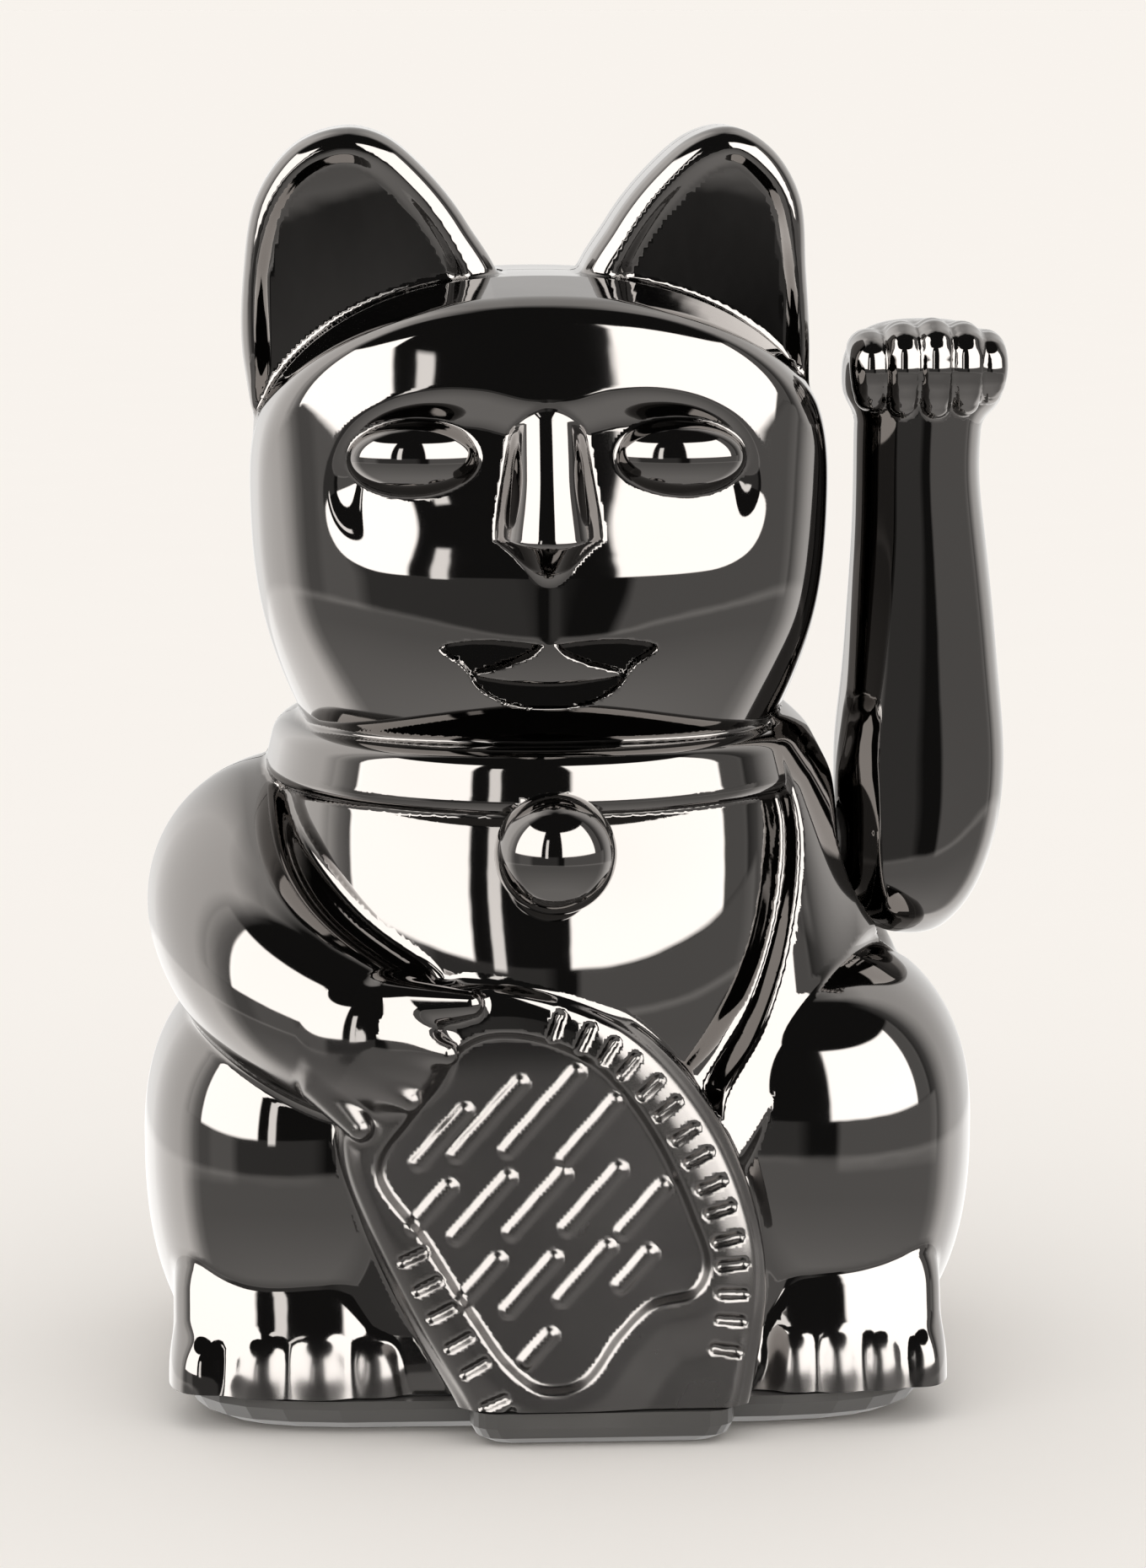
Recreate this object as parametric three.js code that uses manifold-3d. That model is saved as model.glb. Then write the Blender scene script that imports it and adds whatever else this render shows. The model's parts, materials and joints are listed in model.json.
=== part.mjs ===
// Beckoning cat figurine. Two plated half shells stand on a base plate. The raised arm turns on an axle,
// a lever with a magnet hangs from the same axle inside, and a coil on the base keeps it swinging.
// One AA cell lies in the base behind a hinged door.
// Millimetres. +Z is up, the cat faces -Y, +X is the side of the raised arm.
// The origin is on the underside of the base plate, below the middle of the head.

import * as THREE from 'three';
import { mergeVertices } from 'three/addons/utils/BufferGeometryUtils.js';
import { LoftGeometry } from 'three/addons/geometries/LoftGeometry.js';
import { RoundedBoxGeometry } from 'three/addons/geometries/RoundedBoxGeometry.js';
import Module from 'manifold-3d';

const wasm = await Module();
wasm.setup();

// ---------------------------------------------------------------- driving dimensions
const gap = 0.3; // between separate pieces
const wall = 2.2; // shell walls
const baseTop = 4; // height of the base plate's rim
const shellBottom = baseTop + gap;
const seamY = 0; // plane where the shells and the arm halves part
const pivotZ = 63; // arm axle height; the axle lies along X at y = 0
const recessX = 35.8; // flat pad on the body's side that the arm swings past
const recessR = 13.6; // radius of that pad about the axle
const armInnerX = 36.5; // inner face of the arm's root
const axleR = 1.5;
const boreR = 1.6; // running bore for the axle
const leverX = 20; // plane in which the pendulum swings
const magnetBottom = 20;
const cell = { x: -20, r: 7.2, length: 50.5, y0: -23.3, z: 10.4 }; // AA cell, axis along Y
const door = { x0: -29, x1: -11, y0: -28, y1: 26.4 }; // battery door opening in the base
const baseScrews = [[-37.4, -25], [38.6, -25], [-33.5, 23], [34.5, 23]];

// ---------------------------------------------------------------- helpers
function clean(geometry) {
  const g = geometry.clone();
  for (const k of Object.keys(g.attributes)) if (k !== 'position') g.deleteAttribute(k);
  const m = mergeVertices(g, 1e-4);
  const p = m.attributes.position, ix = m.index.array, tri = [];
  let volume = 0;
  const a = new THREE.Vector3(), b = new THREE.Vector3(), c = new THREE.Vector3();
  for (let i = 0; i < ix.length; i += 3) {
    if (ix[i] === ix[i + 1] || ix[i + 1] === ix[i + 2] || ix[i] === ix[i + 2]) continue;
    a.fromBufferAttribute(p, ix[i]);
    b.fromBufferAttribute(p, ix[i + 1]);
    c.fromBufferAttribute(p, ix[i + 2]);
    volume += a.dot(b.cross(c));
    tri.push(ix[i], ix[i + 1], ix[i + 2]);
  }
  if (volume < 0) for (let i = 0; i < tri.length; i += 3) [tri[i], tri[i + 1]] = [tri[i + 1], tri[i]];
  return { position: p.array, tri };
}

function solid(geometry) {
  const { position, tri } = clean(geometry);
  return new wasm.Manifold(new wasm.Mesh({
    numProp: 3, vertProperties: new Float32Array(position), triVerts: new Uint32Array(tri),
  }));
}

const join = (...parts) => parts.reduce((a, b) => a.add(b));
const cut = (a, ...parts) => parts.reduce((s, b) => s.subtract(b), a);

function box(x0, x1, y0, y1, z0, z1) {
  const g = new THREE.BoxGeometry(x1 - x0, y1 - y0, z1 - z0);
  return solid(g.translate((x0 + x1) / 2, (y0 + y1) / 2, (z0 + z1) / 2));
}

// Cylinder along an axis through (u, v) of the other two axes, from a to b.
function rod(axis, r, a, b, u, v, seg = 24, r2 = r) {
  const g = new THREE.CylinderGeometry(r2, r, b - a, seg);
  if (axis === 'x') g.rotateZ(-Math.PI / 2).translate((a + b) / 2, u, v);
  if (axis === 'y') g.translate(u, (a + b) / 2, v);
  if (axis === 'z') g.rotateX(Math.PI / 2).translate(u, v, (a + b) / 2);
  return solid(g);
}

// Turned piece about a vertical axis through (x, y): points are [radius, height].
function turned(points, x, y, seg = 20) {
  const g = new THREE.LatheGeometry(points.map(([r, z]) => new THREE.Vector2(r, z)), seg);
  return solid(g.rotateX(Math.PI / 2).translate(x, y, 0));
}

// Ellipsoid with exponent n; the lower half can have its own height.
function egg(cx, cy, cz, rx, ry, rz, n = 2, seg = 28, rings = 16, rzLow = rz) {
  const g = new THREE.SphereGeometry(1, seg, rings).rotateX(Math.PI / 2);
  const p = g.attributes.position;
  for (let i = 0; i < p.count; i++) {
    const x = p.getX(i), y = p.getY(i), z = p.getZ(i);
    const k = (Math.abs(x) ** n + Math.abs(y) ** n + Math.abs(z) ** n) ** (-1 / n);
    p.setXYZ(i, cx + x * k * rx, cy + y * k * ry, cz + z * k * (z < 0 ? rzLow : rz));
  }
  return solid(g);
}

function ring(z, x0, x1, y0, y1, n, seg) {
  const points = [];
  for (let i = 0; i < seg; i++) {
    const t = (i / seg) * 2 * Math.PI, c = Math.cos(t), s = Math.sin(t);
    points.push(new THREE.Vector3(
      (x0 + x1) / 2 + ((x1 - x0) / 2) * Math.sign(c) * Math.abs(c) ** (2 / n),
      (y0 + y1) / 2 + ((y1 - y0) / 2) * Math.sign(s) * Math.abs(s) ** (2 / n), z));
  }
  return points;
}

// Stack of rounded sections, each [z, x0, x1, y0, y1, exponent], drawn in by `inset`.
function column(stations, inset = 0, seg = 36) {
  const rings = stations.map(([z, x0, x1, y0, y1, n]) =>
    ring(z, x0 + inset, x1 - inset, y0 + inset, y1 - inset, n, seg));
  return solid(new LoftGeometry(rings, { capStart: true, capEnd: true }));
}

// Round limb through [x, y, z, radius] points, with ball ends.
function limb(keys, inset = 0, seg = 18, steps = 12) {
  const path = new THREE.CatmullRomCurve3(keys.map(([x, y, z]) => new THREE.Vector3(x, y, z)));
  const girth = new THREE.CatmullRomCurve3(keys.map((k, i) => new THREE.Vector3(i, k[3], 0)));
  const frames = path.computeFrenetFrames(steps);
  const rings = [];
  for (let i = 0; i <= steps; i++) {
    const c = path.getPointAt(i / steps), r = girth.getPoint(i / steps).y - inset, row = [];
    for (let j = 0; j < seg; j++) {
      const t = (j / seg) * 2 * Math.PI;
      row.push(c.clone().addScaledVector(frames.normals[i], r * Math.cos(t))
        .addScaledVector(frames.binormals[i], r * Math.sin(t)));
    }
    rings.push(row);
  }
  const ball = ([x, y, z, r]) => egg(x, y, z, r - inset, r - inset, r - inset, 2, seg, 7);
  return join(solid(new LoftGeometry(rings, { capStart: true, capEnd: true })),
    ball(keys[0]), ball(keys[keys.length - 1]));
}

// Closed outline through [x, z] points.
function outline(points, count = 40) {
  const curve = new THREE.CatmullRomCurve3(points.map(([x, z]) => new THREE.Vector3(x, z, 0)), true, 'centripetal');
  return new THREE.Shape(curve.getSpacedPoints(count).slice(0, count).map((p) => new THREE.Vector2(p.x, p.y)));
}

// Outline in the XZ plane made into a plate from yFront to yBack, its edges rounded by `bevel`.
function plate(shape, yFront, yBack, bevel = 0, segments = 3) {
  const g = new THREE.ExtrudeGeometry(shape, {
    depth: yBack - yFront - 2 * bevel, bevelEnabled: bevel > 0, bevelThickness: bevel, bevelSize: bevel,
    bevelOffset: -bevel, bevelSegments: segments, curveSegments: 12,
  });
  return g.rotateX(Math.PI / 2).translate(0, yBack - bevel, 0);
}

// Round wire through [x, y, z] points.
function wire(points, r = 0.6, steps = 14, seg = 6) {
  const path = new THREE.CatmullRomCurve3(points.map((p) => new THREE.Vector3(...p)), false, 'centripetal');
  const section = new THREE.Shape(new THREE.EllipseCurve(0, 0, r, r, 0, 2 * Math.PI).getPoints(seg).slice(0, seg));
  return solid(new THREE.ExtrudeGeometry(section, { extrudePath: path, steps, bevelEnabled: false }));
}

// Screw pointing up: head below, shank above. z is the underside of the head.
function screw(x, y, z, headR, headH, shankR, length) {
  return turned([[0, z], [headR * 0.7, z], [headR, z + headH * 0.4], [headR, z + headH], [shankR, z + headH],
    [shankR, z + headH + length - 1], [0, z + headH + length]], x, y, 12);
}

const group = new THREE.Group();
group.name = 'beckoning_cat';
function add(name, shape, colour, roughness = 0.4, metalness = 0) {
  const m = shape.getMesh(), g = new THREE.BufferGeometry();
  g.setAttribute('position', new THREE.Float32BufferAttribute(m.vertProperties, m.numProp));
  g.setIndex(new THREE.Uint32BufferAttribute(m.triVerts, 1));
  g.computeVertexNormals();
  const mesh = new THREE.Mesh(g, new THREE.MeshStandardMaterial({ color: colour, roughness, metalness }));
  mesh.name = name;
  group.add(mesh);
}

// ---------------------------------------------------------------- body outside
// Each station is [z, left x, right x, front y, back y, exponent].
const torsoStations = [
  [shellBottom, -43.6, 45.2, -35, 37.5, 3.2], [12, -44.6, 47.6, -35, 39.5, 3], [24, -44.6, 48, -34, 40.5, 2.8],
  [36, -43, 47, -33, 40, 2.6], [48, -40, 44.8, -33.5, 37.5, 2.5], [58, -37, 41.6, -34, 34, 2.4],
  [67, -34.5, 38, -33.5, 30.5, 2.3], [74, -31.5, 34, -32, 27, 2.2], [80, -28, 29, -29, 24, 2.2],
];
const headStations = [75, 81, 89, 98, 107, 115, 121, 126, 129.6, 132, 132.8].map((z) => {
  const mid = 107, up = z > mid, t = Math.abs(z - mid) / (up ? 26 : 41), n = up ? 2.6 : 2.2;
  const k = Math.max(1 - t ** n, 0.002) ** (1 / n);
  return [z, -34.8 * k, 34.8 * k, -2 - 30 * k, -1 + 28 * k, 2.7];
});
const earKeys = (s) => [[5, 130.5], [8.6, 138.8], [13.4, 144.9], [18.5, 149.1], [23.2, 150], [28.6, 148], [33, 142],
  [34.6, 133], [34.8, 122], [31, 112], [18, 118]].map(([x, z]) => [s * x, z]);
const innerEarKeys = (s) => [[10.2, 133], [14.6, 141.6], [20, 146.4], [25.6, 146.4], [30.2, 141], [31.2, 132],
  [30.6, 124], [24, 126], [15, 130]].map(([x, z]) => [s * x, z]);
const coinKeys = [[-9, 54.6], [0, 53.2], [9.9, 48.6], [17.2, 40.4], [22.2, 31], [24.6, 21], [23.6, 10], [21, 2],
  [14, 0.6], [0, 0.6], [-8, 0.8], [-12, 6], [-17, 15], [-22, 26], [-24.6, 38], [-19.6, 50]];
const coinFieldKeys = [[-8.4, 47.6], [-1, 47], [6, 43.2], [12.4, 36], [17, 25.6], [17, 19], [10.5, 15.8],
  [4.5, 8.6], [-1, 7.2], [-6, 11], [-13, 20.6], [-19.4, 31.6], [-14, 40.5]];
const coinFront = -44.6, coinThick = 12, coinLean = -6.5 * Math.PI / 180;
const leftArmKeys = [[-29, 6, 63, 11], [-34, -5, 60, 12.4], [-34.4, -17, 55.4, 11.8], [-27, -28, 50, 10.8],
  [-18.6, -33.5, 46.5, 9.6]];
const tailKeys = [[2, 36, 10, 6], [6, 40.5, 18, 6.2], [12, 40, 26, 5.6], [14, 37, 34, 4.6]];

function lean(geometry) {
  return geometry.translate(0, -coinFront, 0).rotateX(coinLean).translate(0, coinFront, 0);
}
function bodyPrint(inset, z0, z1) {
  const at = (n) => ring(0, -43.6 + inset, 45.8 - inset, -37.6 + inset, 37.5 - inset, n, 32);
  const s = new THREE.Shape(at(3.4).map((p, i) => (i > 16 ? at(6)[i] : p)).map((p) => new THREE.Vector2(p.x, p.y)));
  return solid(new THREE.ExtrudeGeometry(s, { depth: z1 - z0, bevelEnabled: false }).translate(0, 0, z0));
}
function lobePrint(inset, z0, z1) {
  const lobe = new RoundedBoxGeometry(30.6 - 2 * inset, 26, 40, 2, 3).translate(5.7, -30.2 + inset, 0);
  return solid(lobe).intersect(box(-60, 60, -60, 60, z0, z1));
}
function footprint(inset, z0, z1) {
  return bodyPrint(inset, z0, z1).add(lobePrint(inset, z0, z1));
}
// the base's own outside: its lower edge is turned in
function baseOutside() {
  return wasm.Manifold.hull([bodyPrint(3, 0, 0.1), bodyPrint(1, 1.2, 1.3), bodyPrint(0, 3, baseTop)])
    .add(wasm.Manifold.hull([lobePrint(1.9, 0, 0.1), lobePrint(0.6, 0.9, 1), lobePrint(0, 2.2, baseTop)]));
}
function foot(x0, x1) {
  const parts = [solid(new RoundedBoxGeometry(x1 - x0, 30, 24, 2, 6.2).translate((x0 + x1) / 2, -22.4, 9))];
  const step = (x1 - x0 - 3) / 4;
  for (let i = 0; i < 4; i++) {
    parts.push(egg(x0 + 1.5 + step * (i + 0.5), -35.6, 9, step * 0.54, 3.9, 8.4, 2.4, 8, 5));
  }
  return join(...parts);
}
function coin() {
  let c = solid(lean(plate(outline(coinKeys, 26), coinFront, coinFront + coinThick, 1.8, 1)));
  c = cut(c, solid(lean(plate(outline(coinFieldKeys, 20), coinFront - 5, coinFront + 1.2))));
  // raised slanted bars in the sunk field, a plain pattern with no meaning
  const slant = 0.86, bars = [[-11, 38.2, 11], [-5, 39.6, 11], [1, 39, 12], [-13.4, 27.6, 8], [-6.4, 29, 9],
    [0.4, 29, 8], [7, 30, 9], [-7.4, 19, 8], [-0.4, 19, 9], [6.8, 22, 7]];
  for (const [x, z, length] of bars) {
    const bar = new THREE.BoxGeometry(1.4, length, 1.4).rotateZ(-slant).rotateX(Math.PI / 2);
    c = c.add(solid(lean(bar.rotateX(-Math.PI / 2).translate(x, coinFront + 1.1, z))));
  }
  const rim = new THREE.CatmullRomCurve3(coinKeys.map(([x, z]) => new THREE.Vector3(x, 0, z)), true, 'centripetal');
  for (let i = 0; i < 17; i++) {
    const u = 0.07 + 0.86 * (i / 17);
    if (u > 0.44 && u < 0.62) continue; // no notches along the foot of the coin
    const p = rim.getPointAt(u), t = rim.getTangentAt(u);
    const notch = new THREE.BoxGeometry(3.2, 0.9, 0.9).rotateY(-Math.atan2(-t.x, t.z));
    c = c.subtract(solid(lean(notch.translate(p.x + 3.4 * -t.z * -1, coinFront, p.z + 3.4 * -t.x))));
  }
  return c;
}

let outer = join(
  column(headStations, 0, 28), column(torsoStations, 0, 28), footprint(0, shellBottom, 11),
  egg(-28, -9, 30, 19.8, 25, 22, 2.4, 20, 10, 28), egg(31, -9, 31, 20.8, 25, 22.5, 2.4, 20, 10, 28),
  foot(-43.9, -19), foot(26.2, 46.2), limb(leftArmKeys, 0, 14, 7), egg(-16.6, -38.6, 45.4, 9.6, 5.4, 8.6, 2.3, 14, 8),
  coin(), egg(0.4, -36.6, 68.8, 6.4, 6.4, 6.4, 2, 14, 8), limb(tailKeys, 0, 10, 5),
  solid(new THREE.TorusGeometry(29, 3.7, 8, 28).scale(1, 1.02, 1).translate(0, -2.4, 76.1)),
);
for (const s of [-1, 1]) {
  const ear = solid(plate(outline(earKeys(s), 24), -9, 9, 3, 2));
  outer = outer.add(ear.subtract(solid(plate(outline(innerEarKeys(s), 18), -20, -7.2))));
}
// face: muzzle, eyes in sunk sockets, nose, mouth
for (const s of [-1, 1]) {
  outer = cut(outer, egg(s * 14.6, -35.4, 113, 10.6, 6.2, 8.6, 2, 16, 10));
  outer = outer.add(egg(s * 15, -27.6, 112.9, 6.8, 4.4, 4.2, 2, 14, 8));
}
outer = join(outer, limb([[0, -26.6, 124, 4.4], [0, -28.6, 113, 4.6], [0, -30.4, 104.8, 4.6]], 0, 10, 3),
  egg(0, -30.6, 103.4, 6, 5, 3.8, 2, 12, 8), egg(0, -24.4, 90, 19, 8.2, 10, 2.2, 14, 8));
const lips = new THREE.Shape();
lips.moveTo(-12, 91.4);
lips.quadraticCurveTo(-6, 90.6, 0, 91.8);
lips.quadraticCurveTo(6, 90.6, 12, 91.4);
lips.quadraticCurveTo(7, 85.4, 0, 85);
lips.quadraticCurveTo(-7, 85.4, -12, 91.4);
outer = outer.subtract(solid(plate(lips, -50, -31.4)));
// room for the raised arm: a round pad about the axle and the space above it
const armRoom = rod('x', recessR, recessX, 80, 0, pivotZ, 32).add(box(recessX, 80, -60, 60, 71, 140));
outer = outer.subtract(armRoom).intersect(box(-90, 90, -90, 90, shellBottom, 200));

// ---------------------------------------------------------------- body inside
const inner = (list, d) => list.filter(([z]) => z < d);
let hollow = join(
  column([[68, -24, 24, -24, 20, 2.4], ...inner(headStations, 130).slice(1), [130.6, -14, 14, -14, 12, 2.4]], wall, 16),
  column([[-2, -43.6, 45.2, -35, 37.5, 3.2], ...torsoStations], wall, 18),
  egg(-28, -9, 30, 17.4, 22.6, 19.6, 2.4, 14, 8, 25.6), egg(31, -9, 31, 18.4, 22.6, 20, 2.4, 14, 8, 25.6),
  limb(leftArmKeys, 2.4, 10, 5), footprint(2.1, -2, 10),
  solid(new RoundedBoxGeometry(20, 26, 20, 1, 4).translate(-31.4, -21.6, 8.4)),
  solid(new RoundedBoxGeometry(15.2, 26, 20, 1, 4).translate(36.2, -21.6, 8.4)),
  solid(lean(plate(outline([[-8, 46], [6, 43], [14, 34], [20, 20], [19, 1], [-8, -2], [-19, 28], [-17, 40]], 16),
    coinFront + 3.6, -26))),
);
for (const s of [-1, 1]) {
  const room = innerEarKeys(s).map(([x, z]) => [x * 0.97 + s * 0.6, z - 1.6]);
  hollow = hollow.add(solid(plate(outline(room, 12), -5, 6.6))).add(
    box(s > 0 ? 16 : -28, s > 0 ? 28 : -16, -5, 6.6, 112, 134));
}
const padGuard = rod('x', recessR + wall, recessX - wall, 80, 0, pivotZ, 24)
  .add(box(recessX - wall, 80, -60, 60, 69, 140));
hollow = hollow.subtract(padGuard);

// screw posts that grow out of the shell walls
let shell = outer.subtract(hollow);
let posts = null;
for (const [x, y] of baseScrews) {
  const sx = Math.sign(x), web = box(Math.min(x, sx * 46), Math.max(x, sx * 46), y - 1.2, y + 1.2, 7.6, 26);
  const post = rod('z', 3.4, 7.6, 26, x, y, 8).add(web).intersect(outer);
  posts = posts ? posts.add(post) : post;
}
shell = shell.add(posts);
for (const [x, y] of baseScrews) shell = shell.subtract(rod('z', 1.3 + gap / 2, 0, 20, x, y, 8));
shell = shell.subtract(rod('x', 4.7, 30, 40, 0, pivotZ, 24));
add('front_shell', shell.intersect(box(-90, 90, -90, seamY - gap / 2, 0, 200)), 0x2b2927, 0.08, 1);
add('back_shell', shell.intersect(box(-90, 90, seamY + gap / 2, 90, 0, 200)), 0x2b2927, 0.08, 1);

// ---------------------------------------------------------------- base plate, battery box and door
const boxWall = 1.6, floorT = 2;
let base = baseOutside().subtract(footprint(2, floorT, baseTop + 1));
base = base.add(footprint(2.4, 1, 7).subtract(footprint(3.9, floorT, 8)));
for (const [x, y] of baseScrews) {
  base = cut(base, rod('z', 4, baseTop, 9, x, y, 12));
  base = base.add(rod('z', 3.6, floorT, 7.3, x, y, 12));
  base = cut(base, rod('z', 2.6, -1, 4.6, x, y, 14), rod('z', 1.6, 0, 8, x, y, 12));
}
// battery box: walls and roof over the cell, its rear end longer than the door opening
const bay = { x0: door.x0 + 0.8, x1: door.x1 - 0.8, y0: door.y0 + 0.8, y1: door.y1 + 3, top: cell.z + cell.r + 0.8 };
base = base.add(box(bay.x0 - boxWall, bay.x1 + boxWall, bay.y0 - boxWall, bay.y1 + boxWall, 1, bay.top + boxWall));
base = cut(base, box(bay.x0, bay.x1, bay.y0, bay.y1, floorT, bay.top),
  box(door.x0, door.x1, door.y0, door.y1, -1, floorT + 0.01));
base = cut(base, box(bay.x0, bay.x1, door.y0 + 1, door.y1 - 1, -1, bay.top));
// wire notches in the box roof ends
base = cut(base, box(bay.x1 - 2, bay.x1 + 4, bay.y0 + 0.2, bay.y0 + 3, bay.top - 4, bay.top + 4),
  box(bay.x1 - 2, bay.x1 + 4, bay.y1 - 3, bay.y1 - 0.2, bay.top - 4, bay.top + 4));
// posts for the movement frame and for the switch, and the switch's slot
const frameScrews = [[20, -13.6], [20, 13.6]];
for (const [x, y] of frameScrews) {
  base = base.add(rod('z', 3, floorT, 8, x, y, 18)).subtract(rod('z', 1.15, 3.4, 9, x, y, 12));
}
const sw = { x: 36.5, y: 4, travel: 2.6 };
const switchScrews = [[sw.x, sw.y - 8], [sw.x, sw.y + 8]];
for (const [x, y] of switchScrews) {
  base = base.add(rod('z', 2, floorT, 4, x, y, 14)).subtract(rod('z', 0.95, 2.6, 5, x, y, 10));
}
base = cut(base, box(sw.x - 2.3, sw.x + 2.3, sw.y - 3.6, sw.y + 3.6, -1, floorT + 1),
  box(sw.x - 3.6, sw.x + 3.6, sw.y - 5, sw.y + 5, -1, 0.8));
add('base_plate', base, 0x1c1b1a, 0.5, 0);

const doorTop = 1.9;
let lid = box(door.x0 + gap, door.x1 - gap, door.y0 + gap, door.y1 - gap, 0.2, doorTop);
for (const x of [door.x0 + 3.6, door.x1 - 3.6]) {
  lid = lid.add(box(x - 1.6, x + 1.6, door.y1 - 1.6, door.y1 - gap, 0.6, 3.3))
    .add(box(x - 1.6, x + 1.6, door.y1 - 1.2, door.y1 + 2, floorT + 0.3, 3.3));
}
for (let i = 0; i < 4; i++) {
  lid = lid.subtract(box(cell.x - 4, cell.x + 4, door.y0 + 4 + i * 2.2, door.y0 + 5 + i * 2.2, 0, 0.7));
}
add('battery_door', lid, 0x1c1b1a, 0.5, 0);
baseScrews.forEach(([x, y], i) => add(`base_screw_${i + 1}`, screw(x, y, 2.4, 2.3, 1.9, 1.3, 12.4), 0xb8b8b4, 0.3, 1));

// ---------------------------------------------------------------- cell and contacts
const cellEnd = cell.y0 + cell.length - 1.2;
const cellBody = join(rod('y', cell.r, cell.y0, cellEnd, cell.x, cell.z, 32), rod('y', 2.7, cellEnd - 1, cellEnd + 1.2, cell.x, cell.z, 20));
add('battery_cell', cellBody, 0x8a8f94, 0.35, 0.6);
const coilPoints = [];
for (let i = 0; i <= 40; i++) {
  const t = i / 40, a = t * 3.5 * 2 * Math.PI, r = 4.6 - 1.6 * t;
  coilPoints.push([cell.x + r * Math.cos(a), bay.y0 + 1.2 + t * (cell.y0 - gap - 0.5 - bay.y0 - 1.2), cell.z + r * Math.sin(a)]);
}
let spring = wire(coilPoints, 0.4, 42, 5);
spring = spring.add(box(cell.x - 5.4, cell.x + 5.4, bay.y0 + 0.4, bay.y0 + 1, cell.z - 6, cell.z + 6))
  .add(box(cell.x + 3, cell.x + 5, bay.y0 + 0.4, bay.y0 + 1.5, cell.z - 1.5, cell.z + 1.5));
add('contact_spring', spring, 0xc2c2bd, 0.3, 1);
let tab = box(cell.x - 5.4, cell.x + 5.4, bay.y1 - 1.4, bay.y1 - 0.8, cell.z - 6, cell.z + 6);
tab = tab.add(rod('y', 1.8, cellEnd + 1.2 + gap, bay.y1 - 1, cell.x, cell.z, 16));
add('contact_plate', tab, 0xc2c2bd, 0.3, 1);

// ---------------------------------------------------------------- switch
const swZ0 = floorT + 2.3;
let swBody = box(sw.x - 3.4, sw.x + 3.4, sw.y - 5.8, sw.y + 5.8, swZ0 - 2, swZ0 + 3.4)
  .add(box(sw.x - 2.4, sw.x + 2.4, sw.y - 10, sw.y + 10, swZ0, swZ0 + 0.8));
swBody = cut(swBody, box(sw.x - 2, sw.x + 2, sw.y - 4.4, sw.y + 4.4, 0, swZ0 + 1.6),
  ...switchScrews.map(([x, y]) => rod('z', 1.1, swZ0 - 1, swZ0 + 2, x, y, 12)));
add('switch_body', swBody, 0x55585a, 0.4, 0.7);
const knobY = sw.y - sw.travel / 2;
let knob = box(sw.x - 1.5, sw.x + 1.5, knobY - 1.6, knobY + 1.6, 0.3, swZ0 + 1.2)
  .add(box(sw.x - 1.7, sw.x + 1.7, knobY - 2.6, knobY + 2.6, swZ0 - 1.4, swZ0 + 1.2));
for (const d of [-0.9, 0, 0.9]) knob = knob.subtract(box(sw.x - 2, sw.x + 2, knobY + d - 0.15, knobY + d + 0.15, 0, 0.6));
add('switch_knob', knob, 0x2a2a2a, 0.5, 0);
switchScrews.forEach(([x, y], i) => {
  const s = new THREE.LatheGeometry([[0, 3], [0.75, 3.6], [0.75, swZ0 + 1.1], [1.7, swZ0 + 1.1], [1.4, swZ0 + 2.1], [0, swZ0 + 2.3]]
    .map(([r, z]) => new THREE.Vector2(r, z)), 12).rotateX(Math.PI / 2).translate(x, y, 0);
  add(`switch_screw_${i + 1}`, solid(s), 0xb8b8b4, 0.3, 1);
});

// ---------------------------------------------------------------- movement
const footZ = 8.3, uprightTop = 69;
const uprights = [[8, 10.6], [30.2, 32.8]];
let frame = box(8, 32.8, -8, 8, footZ, footZ + 2);
for (const [x, y] of frameScrews) {
  frame = frame.add(rod('z', 3.4, footZ, footZ + 2, x, y, 20)).add(box(x - 3.4, x + 3.4, Math.min(0, y), Math.max(0, y), footZ, footZ + 2));
}
for (const [x0, x1] of uprights) {
  frame = frame.add(box(x0, x1, -7, 7, footZ, pivotZ)).add(rod('x', 7, x0, x1, 0, pivotZ, 32));
  frame = cut(frame, rod('x', 2.8, x0 - 1, x1 + 1, 0, pivotZ, 24), box(x0 - 1, x1 + 1, -3.6, 3.6, 30, 52));
}
for (const [x, y] of frameScrews) frame = frame.subtract(rod('z', 1.5, footZ - 1, footZ + 3, x, y, 14));
frame = cut(frame, rod('z', 1.6, footZ - 1, footZ + 3, leverX, 0, 14));
add('movement_frame', frame, 0xd9d6cf, 0.5, 0);
frameScrews.forEach(([x, y], i) => {
  const s = new THREE.LatheGeometry([[0, 3.8], [0.95, 4.6], [0.95, footZ + 2.3], [2.2, footZ + 2.3], [1.9, footZ + 3.5], [0, footZ + 3.8]]
    .map(([r, z]) => new THREE.Vector2(r, z)), 14).rotateX(Math.PI / 2).translate(x, y, 0);
  add(`frame_screw_${i + 1}`, solid(s), 0xb8b8b4, 0.3, 1);
});
const cz = footZ + 2 + gap;
add('coil_bobbin', turned([[0, cz - 1.6], [1.3, cz - 1.6], [1.3, cz], [8, cz], [8, cz + 0.9], [2.6, cz + 0.9], [2.6, cz + 6],
  [8, cz + 6], [8, cz + 6.9], [0, cz + 6.9]], leverX, 0, 28), 0xe8e4da, 0.5, 0);
add('coil_winding', rod('z', 7.2, cz + 1.2, cz + 5.7, leverX, 0, 32).subtract(rod('z', 2.9, cz, cz + 7, leverX, 0, 24)),
  0xb4632c, 0.35, 0.8);

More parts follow.
